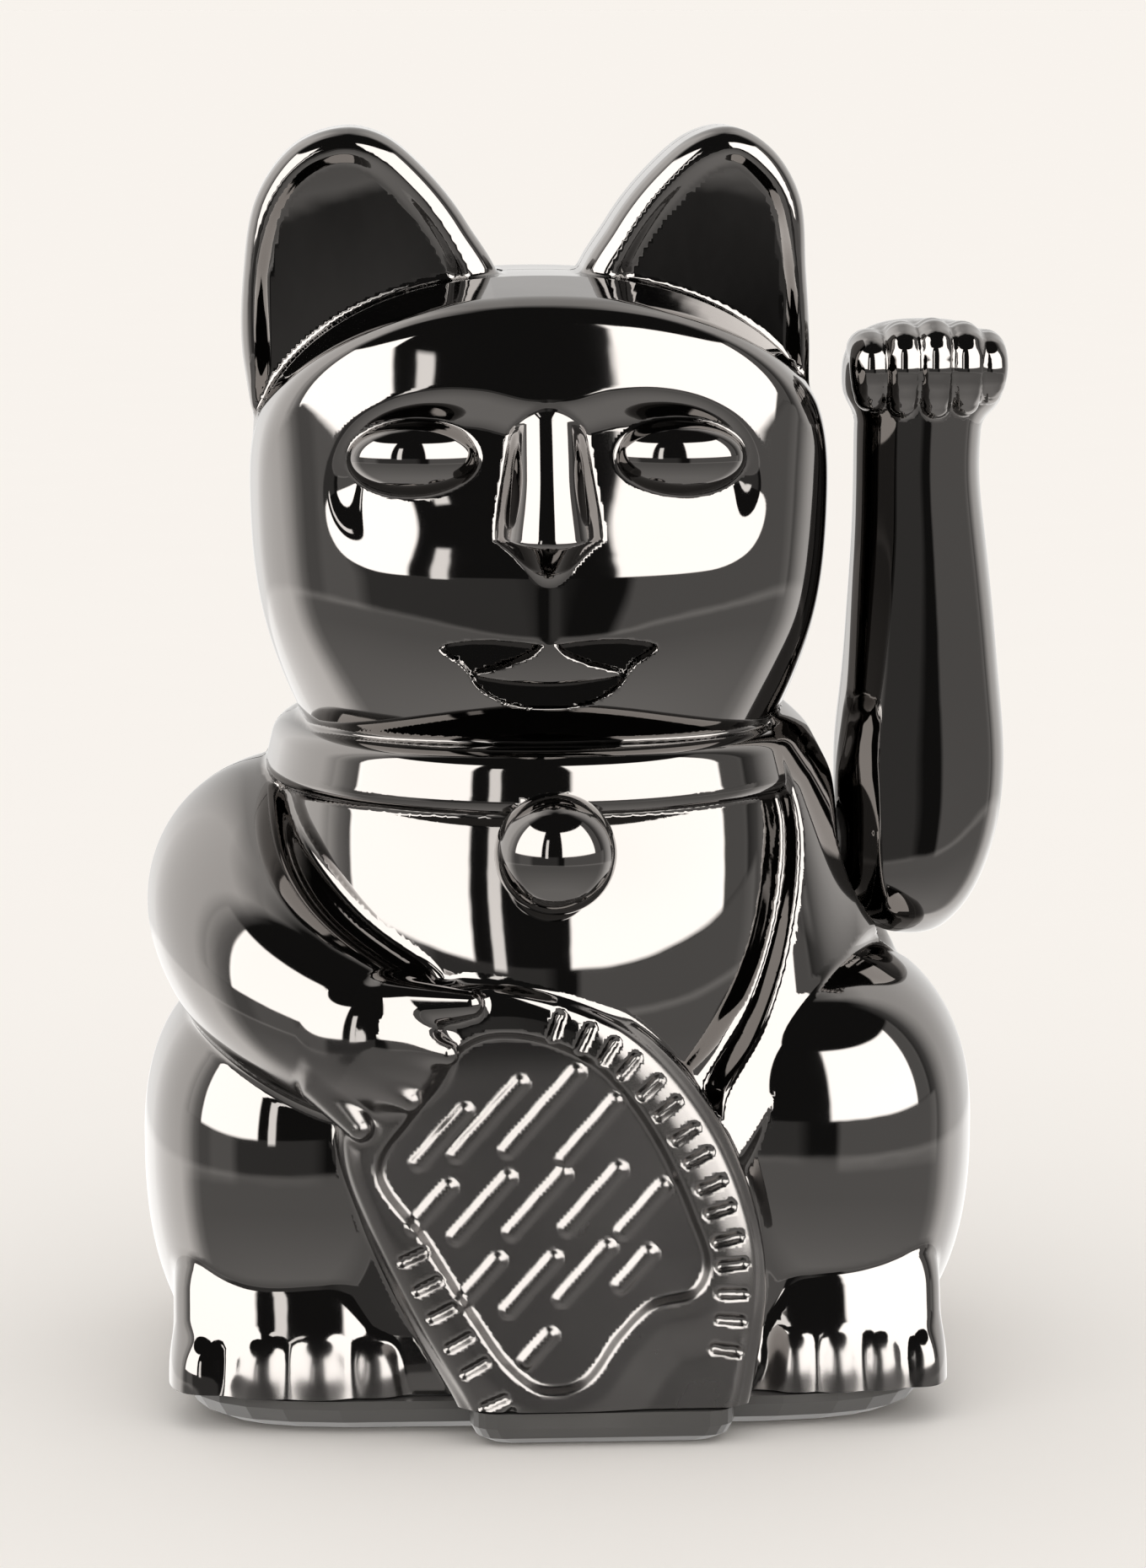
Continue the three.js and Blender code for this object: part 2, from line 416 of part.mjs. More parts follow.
// circuit board behind the coil, on two pegs of the base
const pcb = { x0: 4, x1: 29.4, y0: 17.6, y1: 28.6, z: 6.2, t: 1.2 };
add('circuit_board', cut(box(pcb.x0, pcb.x1, pcb.y0, pcb.y1, pcb.z, pcb.z + pcb.t)), 0x2f5a3a, 0.5, 0);
const pt = pcb.z + pcb.t + 0.1;
add('driver_ic', box(7.4, 12.4, 20.6, 24.6, pt, pt + 1.8), 0x1a1a1a, 0.5, 0);
add('capacitor', turned([[0, pt], [2.4, pt], [2.5, pt + 0.4], [2.5, pt + 5.4], [2.1, pt + 5.8], [0, pt + 5.8]], 16.6, 23.6, 16), 0x2c3e7a, 0.4, 0.2);
add('resistor', join(rod('x', 1.1, 21, 27, 20.4, pt + 1.2, 10), rod('x', 0.3, 19.8, 28.2, 20.4, pt + 1.2, 6),
  rod('z', 0.3, pt, pt + 1.45, 20, 20.4, 6), rod('z', 0.3, pt, pt + 1.45, 28, 20.4, 6)), 0xc9a877, 0.5, 0);
add('transistor', rod('z', 2.3, pt + 1.4, pt + 5.4, 22.6, 25.6, 16).intersect(box(18, 40, 20, 26.8, 0, 30))
  .add(rod('z', 0.3, pt, pt + 2, 22.6, 25.2, 6)), 0x1d1d1d, 0.5, 0);

// ---------------------------------------------------------------- axle, bushes and pendulum
add('axle', rod('x', axleR, 6.6, 49, 0, pivotZ, 24), 0xc4c4c0, 0.2, 1);
[['bush_inner', uprights[0], -1], ['bush_outer', uprights[1], -1]].forEach(([name, [x0, x1], side]) => {
  const flange = side < 0 ? [x1 + gap, x1 + gap + 1.2] : [x0 - gap - 1.2, x0 - gap];
  const b = rod('x', 2.5, x0 - 0.4, x1 + gap + 0.4, 0, pivotZ, 24).add(rod('x', 4, ...flange, 0, pivotZ, 24));
  if (name === 'bush_outer') {
    const c = rod('x', 2.5, x0 - gap - 0.4, x1 + 0.1, 0, pivotZ, 24).add(rod('x', 4, x0 - gap - 1.2, x0 - gap, 0, pivotZ, 24));
    add(name, c.subtract(rod('x', boreR, 0, 60, 0, pivotZ, 24)), 0xc79a4a, 0.3, 1);
  } else add(name, b.subtract(rod('x', boreR, 0, 60, 0, pivotZ, 24)), 0xc79a4a, 0.3, 1);
});
let lever = rod('x', 5, leverX - 2.4, leverX + 2.4, 0, pivotZ, 28).add(box(leverX - 1.2, leverX + 1.2, -3, 3, 25, 60))
  .add(box(leverX - 6, leverX + 6, -6, 6, magnetBottom + 4 + gap, magnetBottom + 6 + gap));
lever = cut(lever, rod('x', axleR + 0.15, 0, 60, 0, pivotZ, 24));
add('pendulum_lever', lever, 0xe2dfd8, 0.5, 0);
add('drive_magnet', rod('z', 6, magnetBottom, magnetBottom + 4, leverX, 0, 28), 0x3a3a3c, 0.35, 0.6);
const weightY = 0.42; // brings the swinging mass under the axle
const weight = box(leverX - 4.6, leverX + 4.6, -6.4 + weightY, 6.4 + weightY, 27.2, 39)
  .subtract(box(leverX - 1.5, leverX + 1.5, -3.3, 3.3, 20, 50));
add('counterweight', weight, 0x8b8b88, 0.4, 1);

// ---------------------------------------------------------------- raised arm
const armStations = [
  [51.8, 43, 48, -2.6, 2.6, 2], [53.4, 39.6, 50.4, -6.6, 6.6, 2.2], [56.4, 37.2, 53, -9.4, 9.4, 2.4],
  [61, armInnerX, 55.2, -10.8, 10.8, 2.5], [67, armInnerX, 56.6, -11, 11, 2.5],
  [75, armInnerX, 57, -10.6, 10.6, 2.5], [83, 37.2, 56.3, -9.8, 9.8, 2.4], [92, 37.8, 55.4, -9.2, 9.2, 2.3],
  [102, 38.3, 54.2, -8.6, 8.6, 2.2], [110, 38.3, 53.5, -8.2, 8.2, 2.2], [115, 37.9, 54.3, -8.3, 8.3, 2.2],
  [118.6, 37, 56.2, -9.4, 9.2, 2.3], [122.6, 37.4, 56.1, -9.4, 9.2, 2.3], [125.6, 40, 53.8, -6.8, 6.6, 2.2],
  [127.2, 44, 50, -2.6, 2.6, 2],
];
let arm = column(armStations, 0, 24);
for (let i = 0; i < 4; i++) arm = arm.add(egg(40.4 + 4.35 * i, -8.2, 120.6, 2.35, 3.6, 5.6, 2.2, 10, 6));
const armHollow = column([[55.6, 39, 51.6, -7, 7, 2.2], ...armStations.slice(3, 10), [113, 39.4, 52.4, -7, 7, 2.2]], 1.8, 16);
arm = cut(arm, armHollow, rod('x', 4 + gap, 30, 40, 0, pivotZ, 24));
add('arm_front_half', arm.intersect(box(0, 90, -60, seamY - gap / 2, 0, 200)), 0x2b2927, 0.08, 1);
add('arm_back_half', arm.intersect(box(0, 90, seamY + gap / 2, 60, 0, 200)), 0x2b2927, 0.08, 1);
const hub = rod('x', 4, recessX - 1.6, 46, 0, pivotZ, 24).add(rod('x', 5, armInnerX + 3.6, 42.4, 0, pivotZ, 24));
add('arm_hub', hub.subtract(rod('x', axleR + 0.15, 30, 60, 0, pivotZ, 24)), 0x232221, 0.4, 0);

// ---------------------------------------------------------------- leads
const roof = bay.top + boxWall;
add('lead_positive', wire([[cell.x + 4, bay.y1 - 2.2, cell.z + 4.6], [bay.x1 + 0.6, bay.y1 - 1.8, roof - 2.4],
  [bay.x1 + 5, bay.y1 - 3.6, roof - 5], [0, 29, 12], [3.4, 27, 9], [6.6, 27, pt + 0.7]]), 0xa32c24, 0.5, 0);
add('lead_negative', wire([[cell.x + 4, bay.y0 + 2.2, cell.z + 4.8], [bay.x1 + 0.6, bay.y0 + 1.7, roof - 2.4],
  [bay.x1 + 6, bay.y0 + 4, roof - 6], [6, -22, 9], [26, -19, 9], [35, -12, 11], [37, -4, 10.6], [sw.x + 0.6, sw.y - 1, swZ0 + 4.3]], 0.6, 20, 6), 0x1a1a1a, 0.5, 0);
add('lead_switch', wire([[sw.x + 0.8, sw.y + 3.4, swZ0 + 4.3], [37.4, 10, 10.4], [34, 16, 11], [30.4, 21.6, 10.4],
  [28, 25.6, pt + 0.7]]), 0x1a1a1a, 0.5, 0);
add('coil_lead_1', wire([[leverX + 5, 5.8, cz + 3], [leverX + 6, 9.4, cz + 1.4], [25.4, 14, 10.4], [23.6, 19, pt + 0.4]], 0.25, 12, 6), 0xb4632c, 0.4, 0.8);
add('coil_lead_2', wire([[leverX - 5, 5.8, cz + 3], [leverX - 6, 9.4, cz + 1.4], [14.4, 14, 10.4], [16, 19, pt + 0.4]], 0.25, 12, 6), 0xb4632c, 0.4, 0.8);

export default group;
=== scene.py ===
# Beckoning cat figurine in mirror black chrome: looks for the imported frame.
# The plated shells and the raised arm are sculpted as smooth distance fields and meshed here;
# every other piece keeps its CAD mesh and gets a procedural material.
import functools
import json
import math

import bmesh
import bpy
import numpy as np
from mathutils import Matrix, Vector

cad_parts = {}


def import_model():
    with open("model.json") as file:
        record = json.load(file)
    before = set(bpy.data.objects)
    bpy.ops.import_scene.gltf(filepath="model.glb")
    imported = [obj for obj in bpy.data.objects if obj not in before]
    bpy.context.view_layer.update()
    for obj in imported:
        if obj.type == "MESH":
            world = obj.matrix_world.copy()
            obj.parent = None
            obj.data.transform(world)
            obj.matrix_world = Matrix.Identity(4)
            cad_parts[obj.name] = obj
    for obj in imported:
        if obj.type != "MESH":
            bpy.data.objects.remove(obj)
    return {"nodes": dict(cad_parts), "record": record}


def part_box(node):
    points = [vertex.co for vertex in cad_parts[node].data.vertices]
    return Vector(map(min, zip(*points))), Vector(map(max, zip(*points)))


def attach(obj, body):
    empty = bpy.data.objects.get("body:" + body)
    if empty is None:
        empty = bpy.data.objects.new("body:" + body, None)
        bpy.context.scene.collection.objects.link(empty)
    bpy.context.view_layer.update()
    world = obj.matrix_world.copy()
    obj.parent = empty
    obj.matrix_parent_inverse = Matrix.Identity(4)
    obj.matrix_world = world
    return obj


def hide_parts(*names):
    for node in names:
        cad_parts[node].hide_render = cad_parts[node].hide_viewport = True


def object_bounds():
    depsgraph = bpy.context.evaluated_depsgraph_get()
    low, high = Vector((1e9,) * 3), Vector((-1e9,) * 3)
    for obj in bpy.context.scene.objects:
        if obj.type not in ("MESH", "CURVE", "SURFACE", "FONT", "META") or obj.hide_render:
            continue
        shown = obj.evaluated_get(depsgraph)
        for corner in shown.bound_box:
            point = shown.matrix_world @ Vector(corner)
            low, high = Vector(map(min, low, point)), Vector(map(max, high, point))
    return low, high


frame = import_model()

cad_lo, cad_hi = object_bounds()
HEIGHT = 150.0                               # the design's height in its own millimetres
MM = (cad_hi.z - cad_lo.z) / HEIGHT          # one of those millimetres in the frame's metres
WALL, ARM_WALL = 2.2, 1.8

front_lo, front_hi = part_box("front_shell")
back_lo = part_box("back_shell")[0]
axle_lo, axle_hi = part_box("axle")
SHELL_Z = front_lo.z / MM                    # lower edge of the shells
SEAM = (front_hi.y + back_lo.y) / 2 / MM     # the plane between the two shells
GAP = (back_lo.y - front_hi.y) / 2 / MM      # from that plane to either shell
PIVOT_Z = (axle_lo.z + axle_hi.z) / 2 / MM
PAD_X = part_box("arm_hub")[0].x / MM + 1.6    # where the body's flat pad beside the arm lies
PAD_R = 13.6                                 # radius of that pad
BORE_R, BORE_X = 4.7, 30                     # the hole round the axle: radius, and where it starts


# ------------------------------------------------------------------ distance fields, in millimetres
TINY = 1e-5                                  # keeps a power of zero out of the gradients


def smin(a, b, k):
    """Smaller of two distances, blended over k."""
    h = np.clip(0.5 + 0.5 * (b - a) / k, 0, 1)
    return b + (a - b) * h - k * h * (1 - h)


def smax(a, b, k):
    """Larger of two distances, blended over k."""
    return -smin(-a, -b, k)


def smooth(x, a, b):
    """0 at a, 1 at b, eased between them."""
    t = np.clip((x - a) / (b - a), 0, 1)
    return t * t * (3 - 2 * t)


def egg(P, c, r, n=2.0, low=None):
    """Ellipsoid of exponent n; low is the height of its lower half."""
    q = P - np.asarray(c, P.dtype)
    rz = np.where(q[:, 2] < 0, low or r[2], r[2])
    ax, ay, az = (np.abs(q[:, i]) / radius + TINY for i, radius in enumerate((r[0], r[1], rz)))
    px, py, pz = ax ** (n - 1), ay ** (n - 1), az ** (n - 1)
    s = px * ax + py * ay + pz * az
    g = np.sqrt((px / r[0]) ** 2 + (py / r[1]) ** 2 + (pz / rz) ** 2) * s ** (1 / n - 1)
    return (s ** (1 / n) - 1) / g


def oval(u, v, ru, rv, n):
    """Distance to a flat superellipse, from its centre."""
    au, av = np.abs(u) / ru + TINY, np.abs(v) / rv + TINY
    pu, pv = au ** (n - 1), av ** (n - 1)
    s = pu * au + pv * av
    return (s ** (1 / n) - 1) / (np.sqrt((pu / ru) ** 2 + (pv / rv) ** 2) * s ** (1 / n - 1))


def spline(xs, ys, x):
    """Natural cubic spline through (xs, ys)."""
    xs, ys = np.asarray(xs, float), np.asarray(ys, float)
    n, h = len(xs), np.diff(xs)
    A, b = np.eye(n), np.zeros(n)
    for i in range(1, n - 1):
        A[i, i - 1:i + 2] = h[i - 1], 2 * (h[i - 1] + h[i]), h[i]
        b[i] = 6 * ((ys[i + 1] - ys[i]) / h[i] - (ys[i] - ys[i - 1]) / h[i - 1])
    m = np.linalg.solve(A, b)
    i = np.clip(np.searchsorted(xs, x) - 1, 0, n - 2)
    t, d = x - xs[i], h[i]
    return (ys[i] + t * ((ys[i + 1] - ys[i]) / d - d * (2 * m[i] + m[i + 1]) / 6)
            + t * t * m[i] / 2 + t ** 3 * (m[i + 1] - m[i]) / (6 * d))


class Column:
    """Stack of rounded sections, each (z, left, right, front, back, exponent)."""

    def __init__(self, stations):
        s = np.array(stations, float)
        self.z = np.linspace(s[0, 0], s[-1, 0], 1500)
        self.rows = [spline(s[:, 0], s[:, i], self.z) for i in range(1, 6)]

    def __call__(self, P):
        z = np.clip(P[:, 2], self.z[0], self.z[-1])
        x0, x1, y0, y1, n = (np.interp(z, self.z, r) for r in self.rows)
        u, v = P[:, 0] - (x0 + x1) / 2, P[:, 1] - (y0 + y1) / 2
        return oval(u, v, (x1 - x0) / 2, (y1 - y0) / 2, n)


def chain(P, keys, steps=8):
    """Round limb through (x, y, z, radius) keys, made of straight tapered lengths."""
    k = np.array(keys, float)
    if len(k) > 2:
        t = np.linspace(0, len(k) - 1, steps + 1)
        k = np.stack([spline(np.arange(len(k)), k[:, i], t) for i in range(4)], 1)
    best = None
    for a, b in zip(k[:-1], k[1:]):
        ab = (b - a)[:3]
        h = np.clip(((P - a[:3]) @ ab) / (ab @ ab), 0, 1)
        d = np.linalg.norm(P - a[:3] - h[:, None] * ab, axis=1) - (a[3] + h * (b[3] - a[3]))
        best = d if best is None else smin(best, d, 0.4)
    return best


def limb(P, keys):
    """Round limb with a smoothly curved axis through (x, y, z, radius) keys."""
    k, parts = np.array(keys, float), 16
    span = len(k) - 1
    fine = np.linspace(0, span, 500)
    table = [spline(np.arange(len(k)), k[:, i], fine) for i in range(4)]

    def reach(t):
        x, y, z, r = (np.interp(t, fine, row) for row in table)
        return np.sqrt((P[:, 0] - x) ** 2 + (P[:, 1] - y) ** 2 + (P[:, 2] - z) ** 2) - r

    marks, e = np.linspace(0, span, parts + 1), span / parts
    t = marks[np.argmin(np.stack([reach(np.full(len(P), m)) for m in marks]), axis=0)]
    for _ in range(4):                       # to the lowest point of a parabola through three places
        t = np.clip(t, e, span - e)
        a, b, c = reach(t - e), reach(t), reach(t + e)
        t = t - e * np.clip((c - a) / (2 * np.maximum(a + c - 2 * b, 1e-6)), -1, 1)
        e = e / 3
    return reach(np.clip(t, 0, span))


def closed_curve(points, count=360):
    """Smooth closed curve (centripetal Catmull-Rom) through (x, z) points."""
    p = np.array(points, float)
    n = len(p)
    step = np.sqrt(np.linalg.norm(np.roll(p, -1, 0) - p, axis=1))
    out = []
    for i in range(n):
        q = [p[(i + j - 1) % n] for j in range(4)]
        t = np.concatenate([[0], np.cumsum([step[(i + j - 1) % n] for j in range(3)])])
        u = np.linspace(t[1], t[2], max(2, count // n), endpoint=False)[:, None]
        a1 = (t[1] - u) / (t[1] - t[0]) * q[0] + (u - t[0]) / (t[1] - t[0]) * q[1]
        a2 = (t[2] - u) / (t[2] - t[1]) * q[1] + (u - t[1]) / (t[2] - t[1]) * q[2]
        a3 = (t[3] - u) / (t[3] - t[2]) * q[2] + (u - t[2]) / (t[3] - t[2]) * q[3]
        b1 = (t[2] - u) / (t[2] - t[0]) * a1 + (u - t[0]) / (t[2] - t[0]) * a2
        b2 = (t[3] - u) / (t[3] - t[1]) * a2 + (u - t[1]) / (t[3] - t[1]) * a3
        out.append((t[2] - u) / (t[2] - t[1]) * b1 + (u - t[1]) / (t[2] - t[1]) * b2)
    return np.concatenate(out)


class Flat:
    """Signed distance to a closed outline, tabulated on a fine grid and read back with cubic weights."""

    def __init__(self, points, pitch=0.3, pad=9.0, soften=2):
        c = closed_curve(points)
        self.lo, self.h = c.min(0) - pad, pitch
        shape = np.ceil((c.max(0) + pad - self.lo) / pitch).astype(int) + 1
        axes = (np.arange(s) * pitch + self.lo[i] for i, s in enumerate(shape))
        gx, gz = np.meshgrid(*axes, indexing="ij")
        q = np.stack([gx.ravel(), gz.ravel()], 1)
        a, ab = c, np.roll(c, -1, 0) - c
        best, inside = np.full(len(q), 1e9), np.zeros(len(q), bool)
        for i in range(len(a)):
            d = q - a[i]
            h = np.clip((d @ ab[i]) / (ab[i] @ ab[i]), 0, 1)
            best = np.minimum(best, ((d - h[:, None] * ab[i]) ** 2).sum(1))
            z0, z1 = a[i, 1], a[i, 1] + ab[i, 1]
            crosses = (z0 > q[:, 1]) != (z1 > q[:, 1])
            if crosses.any():
                x = a[i, 0] + (q[:, 1] - z0) / (z1 - z0 + 1e-12) * ab[i, 0]
                inside ^= crosses & (q[:, 0] < x)
        g = (np.sqrt(best) * np.where(inside, -1, 1)).reshape(shape)
        for _ in range(soften):
            sides = g[:-2, 1:-1] + g[2:, 1:-1] + g[1:-1, :-2] + g[1:-1, 2:]
            g[1:-1, 1:-1] = (4 * g[1:-1, 1:-1] + 2 * sides
                             + g[:-2, :-2] + g[:-2, 2:] + g[2:, :-2] + g[2:, 2:]) / 16
        self.g = g

    def __call__(self, x, z):
        u, v = (x - self.lo[0]) / self.h, (z - self.lo[1]) / self.h
        u, v = np.clip(u, 1, self.g.shape[0] - 3.001), np.clip(v, 1, self.g.shape[1] - 3.001)
        i, j = u.astype(int), v.astype(int)
        fu, fv = u - i, v - j

        def weights(f):
            return ((1 - f) ** 3 / 6, (3 * f ** 3 - 6 * f ** 2 + 4) / 6,
                    (-3 * f ** 3 + 3 * f ** 2 + 3 * f + 1) / 6, f ** 3 / 6)

        wu, wv, out = weights(fu), weights(fv), 0
        for a in range(4):
            for b in range(4):
                out = out + wu[a] * wv[b] * self.g[i + a - 1, j + b - 1]
        return out


def slab(flat, along, lo, hi, r):
    """Plate: flat is the outline's distance, along runs from lo to hi, edges rounded by r."""
    u, v = flat + r, np.maximum(lo - along, along - hi) + r
    return np.minimum(np.maximum(u, v), 0) + np.hypot(np.maximum(u, 0), np.maximum(v, 0)) - r


def rounded(q, r):
    """Distance to a box rounded by r; q is how far a point lies past the sides of the box less r."""
    return np.minimum(q.max(1), 0) + np.linalg.norm(np.maximum(q, 0), axis=1) - r


def local(d, P, lo, hi, change, pad=6.0):
    """Applies change(d, P) only near a box, where it can matter."""
    m = np.all((P > np.array(lo) - pad) & (P < np.array(hi) + pad), axis=1)
    if m.any():
        d = d.copy()
        d[m] = change(d[m], P[m])
    return d


# ------------------------------------------------------------------ the body's shape
# Sections are (z, left, right, front, back, exponent); the cat faces -Y.
TORSO = Column([
    (-2, -41, 43.4, -33, 35, 3.2), (4, -43.2, 45.6, -35, 37.4, 3.2), (12, -44.6, 47.6, -35.4, 39.4, 3),
    (24, -44.6, 48, -35, 40.4, 2.8), (36, -43, 47, -33.4, 40, 2.5), (48, -40, 44.8, -30.4, 37.4, 2.2),
    (57, -37, 41.8, -28.8, 34, 2.1), (66, -34.5, 38.2, -27.6, 30.4, 2.1), (74, -31.5, 34, -26, 27, 2.1),
    (82, -27.4, 28.4, -24, 23, 2.1)])
CHEST = Column([
    (24, -26, 26, -33, 20, 2), (36, -27.6, 27.6, -35.6, 20, 2), (46, -29.6, 29.6, -36.8, 20, 2),
    (56, -31, 31, -36.4, 20, 2), (66, -31.4, 31.4, -33.6, 20, 2), (75, -30.6, 30.6, -30, 20, 2),
    (84, -28, 28, -26, 20, 2)])
HEAD = Column([
    (70, -26, 26, -22, 20, 2.3), (78, -28.6, 28.6, -27, 23, 2.5), (86, -31.6, 31.4, -30.8, 25.4, 2.6),
    (93, -33.7, 33.4, -32.3, 26.4, 2.7), (100, -34.8, 34.5, -32.5, 27, 2.7),
    (108, -35.2, 35, -32, 27, 2.7), (115, -35.4, 35.2, -31.2, 26, 2.7), (122, -35.6, 35.4, -29.8, 23.6, 2.7),
    (128, -35.8, 35.6, -27.6, 18.6, 2.6), (134, -36, 35.8, -24.4, 11, 2.5)])
SHOULDER_Z, COLLAR_Z = 82, 76.1


def ear_outline(e):
    """Edge of an ear; e draws its outer side in."""
    return [(4.6, 130.2), (8.4, 138.6), (13.3, 144.9), (18.3, 149), (22.8, 150),
            (28.6 - e * 0.5, 148 - e * 0.2), (33.2 - e, 142), (34.9 - e * 1.35, 133), (34.9 - e * 1.15, 122),
            (31, 110), (18, 114)]


def ear_field(e):
    """Edge of the hollow in the front of such an ear."""
    return [(8.2, 130.2), (11.3, 137), (15.5, 142.6), (19.6, 146), (23.2, 147),
            (27.6 - e * 0.5, 145.4 - e * 0.3), (31 - e, 141.4), (33 - e * 1.3, 134), (33.2 - e * 1.1, 124),
            (32 - e, 112), (17, 112), (6, 122)]


def mirrored(points, s):
    """Outline on the side s of the cat: -1 left in the picture, 1 right."""
    return Flat([(s * x, z) for x, z in points])


EAR_INSET = {-1: 0.0, 1: 2.4}                # the ear next to the raised arm is the narrower one
EAR = {s: mirrored(ear_outline(e), s) for s, e in EAR_INSET.items()}
EAR_FIELD = {s: mirrored(ear_field(e), s) for s, e in EAR_INSET.items()}
SOCKET = Flat([
    (-6, 119.4), (2, 119.7), (7.4, 120.9), (13, 121.0), (18.4, 119.6), (22.6, 116.8), (25.2, 112.4),
    (25.8, 107), (24.4, 102), (20.6, 98.6), (14.6, 97.4), (5, 97.4), (-6, 97.4), (-12, 108)])
EYE, EYE_R = (15.05, -26.0, 112.9), (8.0, 5.3, 4.7)
NOSE_Z = 103.8                               # height of the nose's foremost point
LIPS = Flat([
    (-12.4, 91.5), (-9, 92.4), (-4, 92.3), (-0.8, 91.9), (0, 91.8), (0.8, 91.9), (4, 92.3), (9, 92.4),
    (12.4, 91.5), (9.8, 89.4), (7.8, 86.6), (4.4, 84.8), (0, 84.3), (-4.4, 84.8), (-7.8, 86.6),
    (-9.8, 89.4)], pitch=0.15, soften=0)
TONGUE = Flat([
    (0, 92.6), (1.6, 91.0), (4.6, 89.6), (8.4, 88.4), (4.6, 87.6), (0, 87.3), (-4.6, 87.6), (-8.4, 88.4),
    (-4.6, 89.6), (-1.6, 91.0)], pitch=0.15, soften=0)
SLEEVE = Flat([
    (26, 82), (36, 78), (46, 66), (47, 52), (43.4, 50.6), (40, 53.4), (35, 49.4), (30, 43.4), (25, 34),
    (21, 30), (18.6, 38), (24, 47), (27.6, 57), (29, 68)])
COIN_EDGE = [
    (-9, 54.4), (0, 53.4), (9.9, 48.6), (17.4, 40.6), (22.4, 31), (24.7, 20.6), (23.8, 10), (21.2, 1.6),
    (14, -1), (0, -1), (-8, 0), (-12, 6.4), (-17, 15), (-22, 26), (-24.8, 37), (-19.6, 50)]
COIN = Flat(COIN_EDGE)
COIN_FIELD = Flat([
    (-9.6, 47), (-4, 47.9), (4.2, 45), (8.4, 41), (12.4, 35), (16, 27), (17.8, 21), (16.4, 18),
    (11.4, 16.6), (7.6, 13), (3.4, 7.6), (-1.2, 6.8), (-5, 9.4), (-9.4, 15.6), (-14.8, 24.4),
    (-20, 32.6), (-16, 39)], soften=1)
COIN_FRONT, COIN_THICK, COIN_LEAN = -44.2, 13.0, math.radians(6.5)
# keys of limbs and fingers are (x, y, z, radius)
LEFT_ARM = [
    (-26.4, 10, 63.4, 10.4), (-32.8, -2, 61.0, 12.8), (-34.2, -14.6, 56.6, 12.3), (-29, -26.4, 50.6, 11.4),
    (-20.6, -32.6, 46.6, 10.2)]
TAIL = [
    (-12, 36.5, 8, 5.4), (-2, 40, 9.5, 6.1), (8, 40.4, 15, 6.2), (14, 40, 25, 5.8), (15, 38, 34, 5.0),
    (12, 35.5, 41, 4.2)]
PAW, PAW_R = (-20.6, -37.6, 46.4), (8.6, 5.5, 7.8)
FINGERS = [
    [(-19, -38.2, 51.2, 3.6), (-9.4, -39.6, 51.6, 1.5)],
    [(-20, -39.4, 47.8, 3.7), (-12.2, -40.5, 46.0, 1.5)],
    [(-22.6, -39.2, 44.6, 3.6), (-16.4, -41.0, 40.8, 1.5)],
    [(-26, -38.0, 42.4, 3.2), (-22.2, -41.0, 37.6, 1.5)]]
HAUNCH = {-1: ((-28, -9, 29.6), (19.9, 25.4, 22)), 1: ((31, -9, 31), (20.9, 25.4, 22.5))}   # middle, radii
BELL, BELL_R = (0.4, -38.6, 68.8), 7.0
FOOT = {-1: (-44.2, -10.0, -43.6, -17.0), 1: (20.0, 46.6, 26.2, 46.2)}    # sides, then the toes' span
FOOT_CURVE = 0.016                           # how the foot's front rounds off to both sides


def footprint(P, inset):
    """Outline of the base, in plan: a rounded body with the coin's lobe in front."""
    x, y = P[:, 0] - 1.1, P[:, 1] + 0.05
    n = np.where(y < 0, 5.0, 3.4)
    main = oval(x, y, 44.7 - inset, 37.6 - inset, n)
    q = [np.abs(P[:, 0] - 5.7) - (15.3 - inset - 3), np.abs(P[:, 1] + 30.2) - (13 - inset - 3)]
    return smin(main, rounded(np.stack(q, 1), 3), 1.0)


def ear(P, s):
    """Ear on the side s, a plate with a shallow hollow in its front."""
    d = slab(EAR[s](P[:, 0], P[:, 2]), P[:, 1], -10.5, 7.5, 3.2)
    inside = -EAR_FIELD[s](P[:, 0], P[:, 2])
    hollow = 2.0 - 0.0028 * (P[:, 2] - 133 + 0.25 * np.abs(P[:, 0])) ** 2
    return d + hollow * smooth(inside, -0.9, 1.5) * smooth(-P[:, 1], 3, 7)


def lean(P):
    """The coin's own coordinates: x, depth behind its face, height along it."""
    y, z = P[:, 1] - COIN_FRONT, P[:, 2]
    c, s = math.cos(COIN_LEAN), math.sin(COIN_LEAN)
    return P[:, 0], y * c - z * s, y * s + z * c


# plain pattern of slanted raised bars on the coin: (x, z, length)
BARS = [
    (-12.8, 36.2, 8), (-7.4, 38.2, 11), (-1.2, 39, 12), (4.4, 36.8, 9), (-14.0, 28.2, 6), (-8.2, 28.0, 9),
    (-1.8, 28.4, 9), (4.6, 28.8, 9), (10.4, 27.6, 7), (-8.4, 19.6, 6), (-2.6, 19.0, 8), (3.6, 20.2, 8),
    (9.4, 20.6, 5), (-1.8, 11.6, 4)]
BAR_SLANT = math.radians(48)
BAR_RISE, NOTCH_DEPTH, NOTCH_INSET = 0.5, 0.6, 4.1


def notches():
    """Places and directions of the short notches round the coin's rim."""
    c = closed_curve(COIN_EDGE)
    run = np.concatenate([[0], np.cumsum(np.linalg.norm(np.diff(c, axis=0), axis=1))])
    out = []
    for at in (*np.arange(11, 64, 3.7), *np.arange(103, 128, 3.9)):     # right side, then left
        i = np.searchsorted(run, at)
        t = c[(i + 1) % len(c)] - c[i - 1]
        t = t / np.linalg.norm(t)
        out.append((c[i, 0] + t[1] * NOTCH_INSET, c[i, 1] - t[0] * NOTCH_INSET, t[0], t[1]))
    return out


NOTCHES = notches()


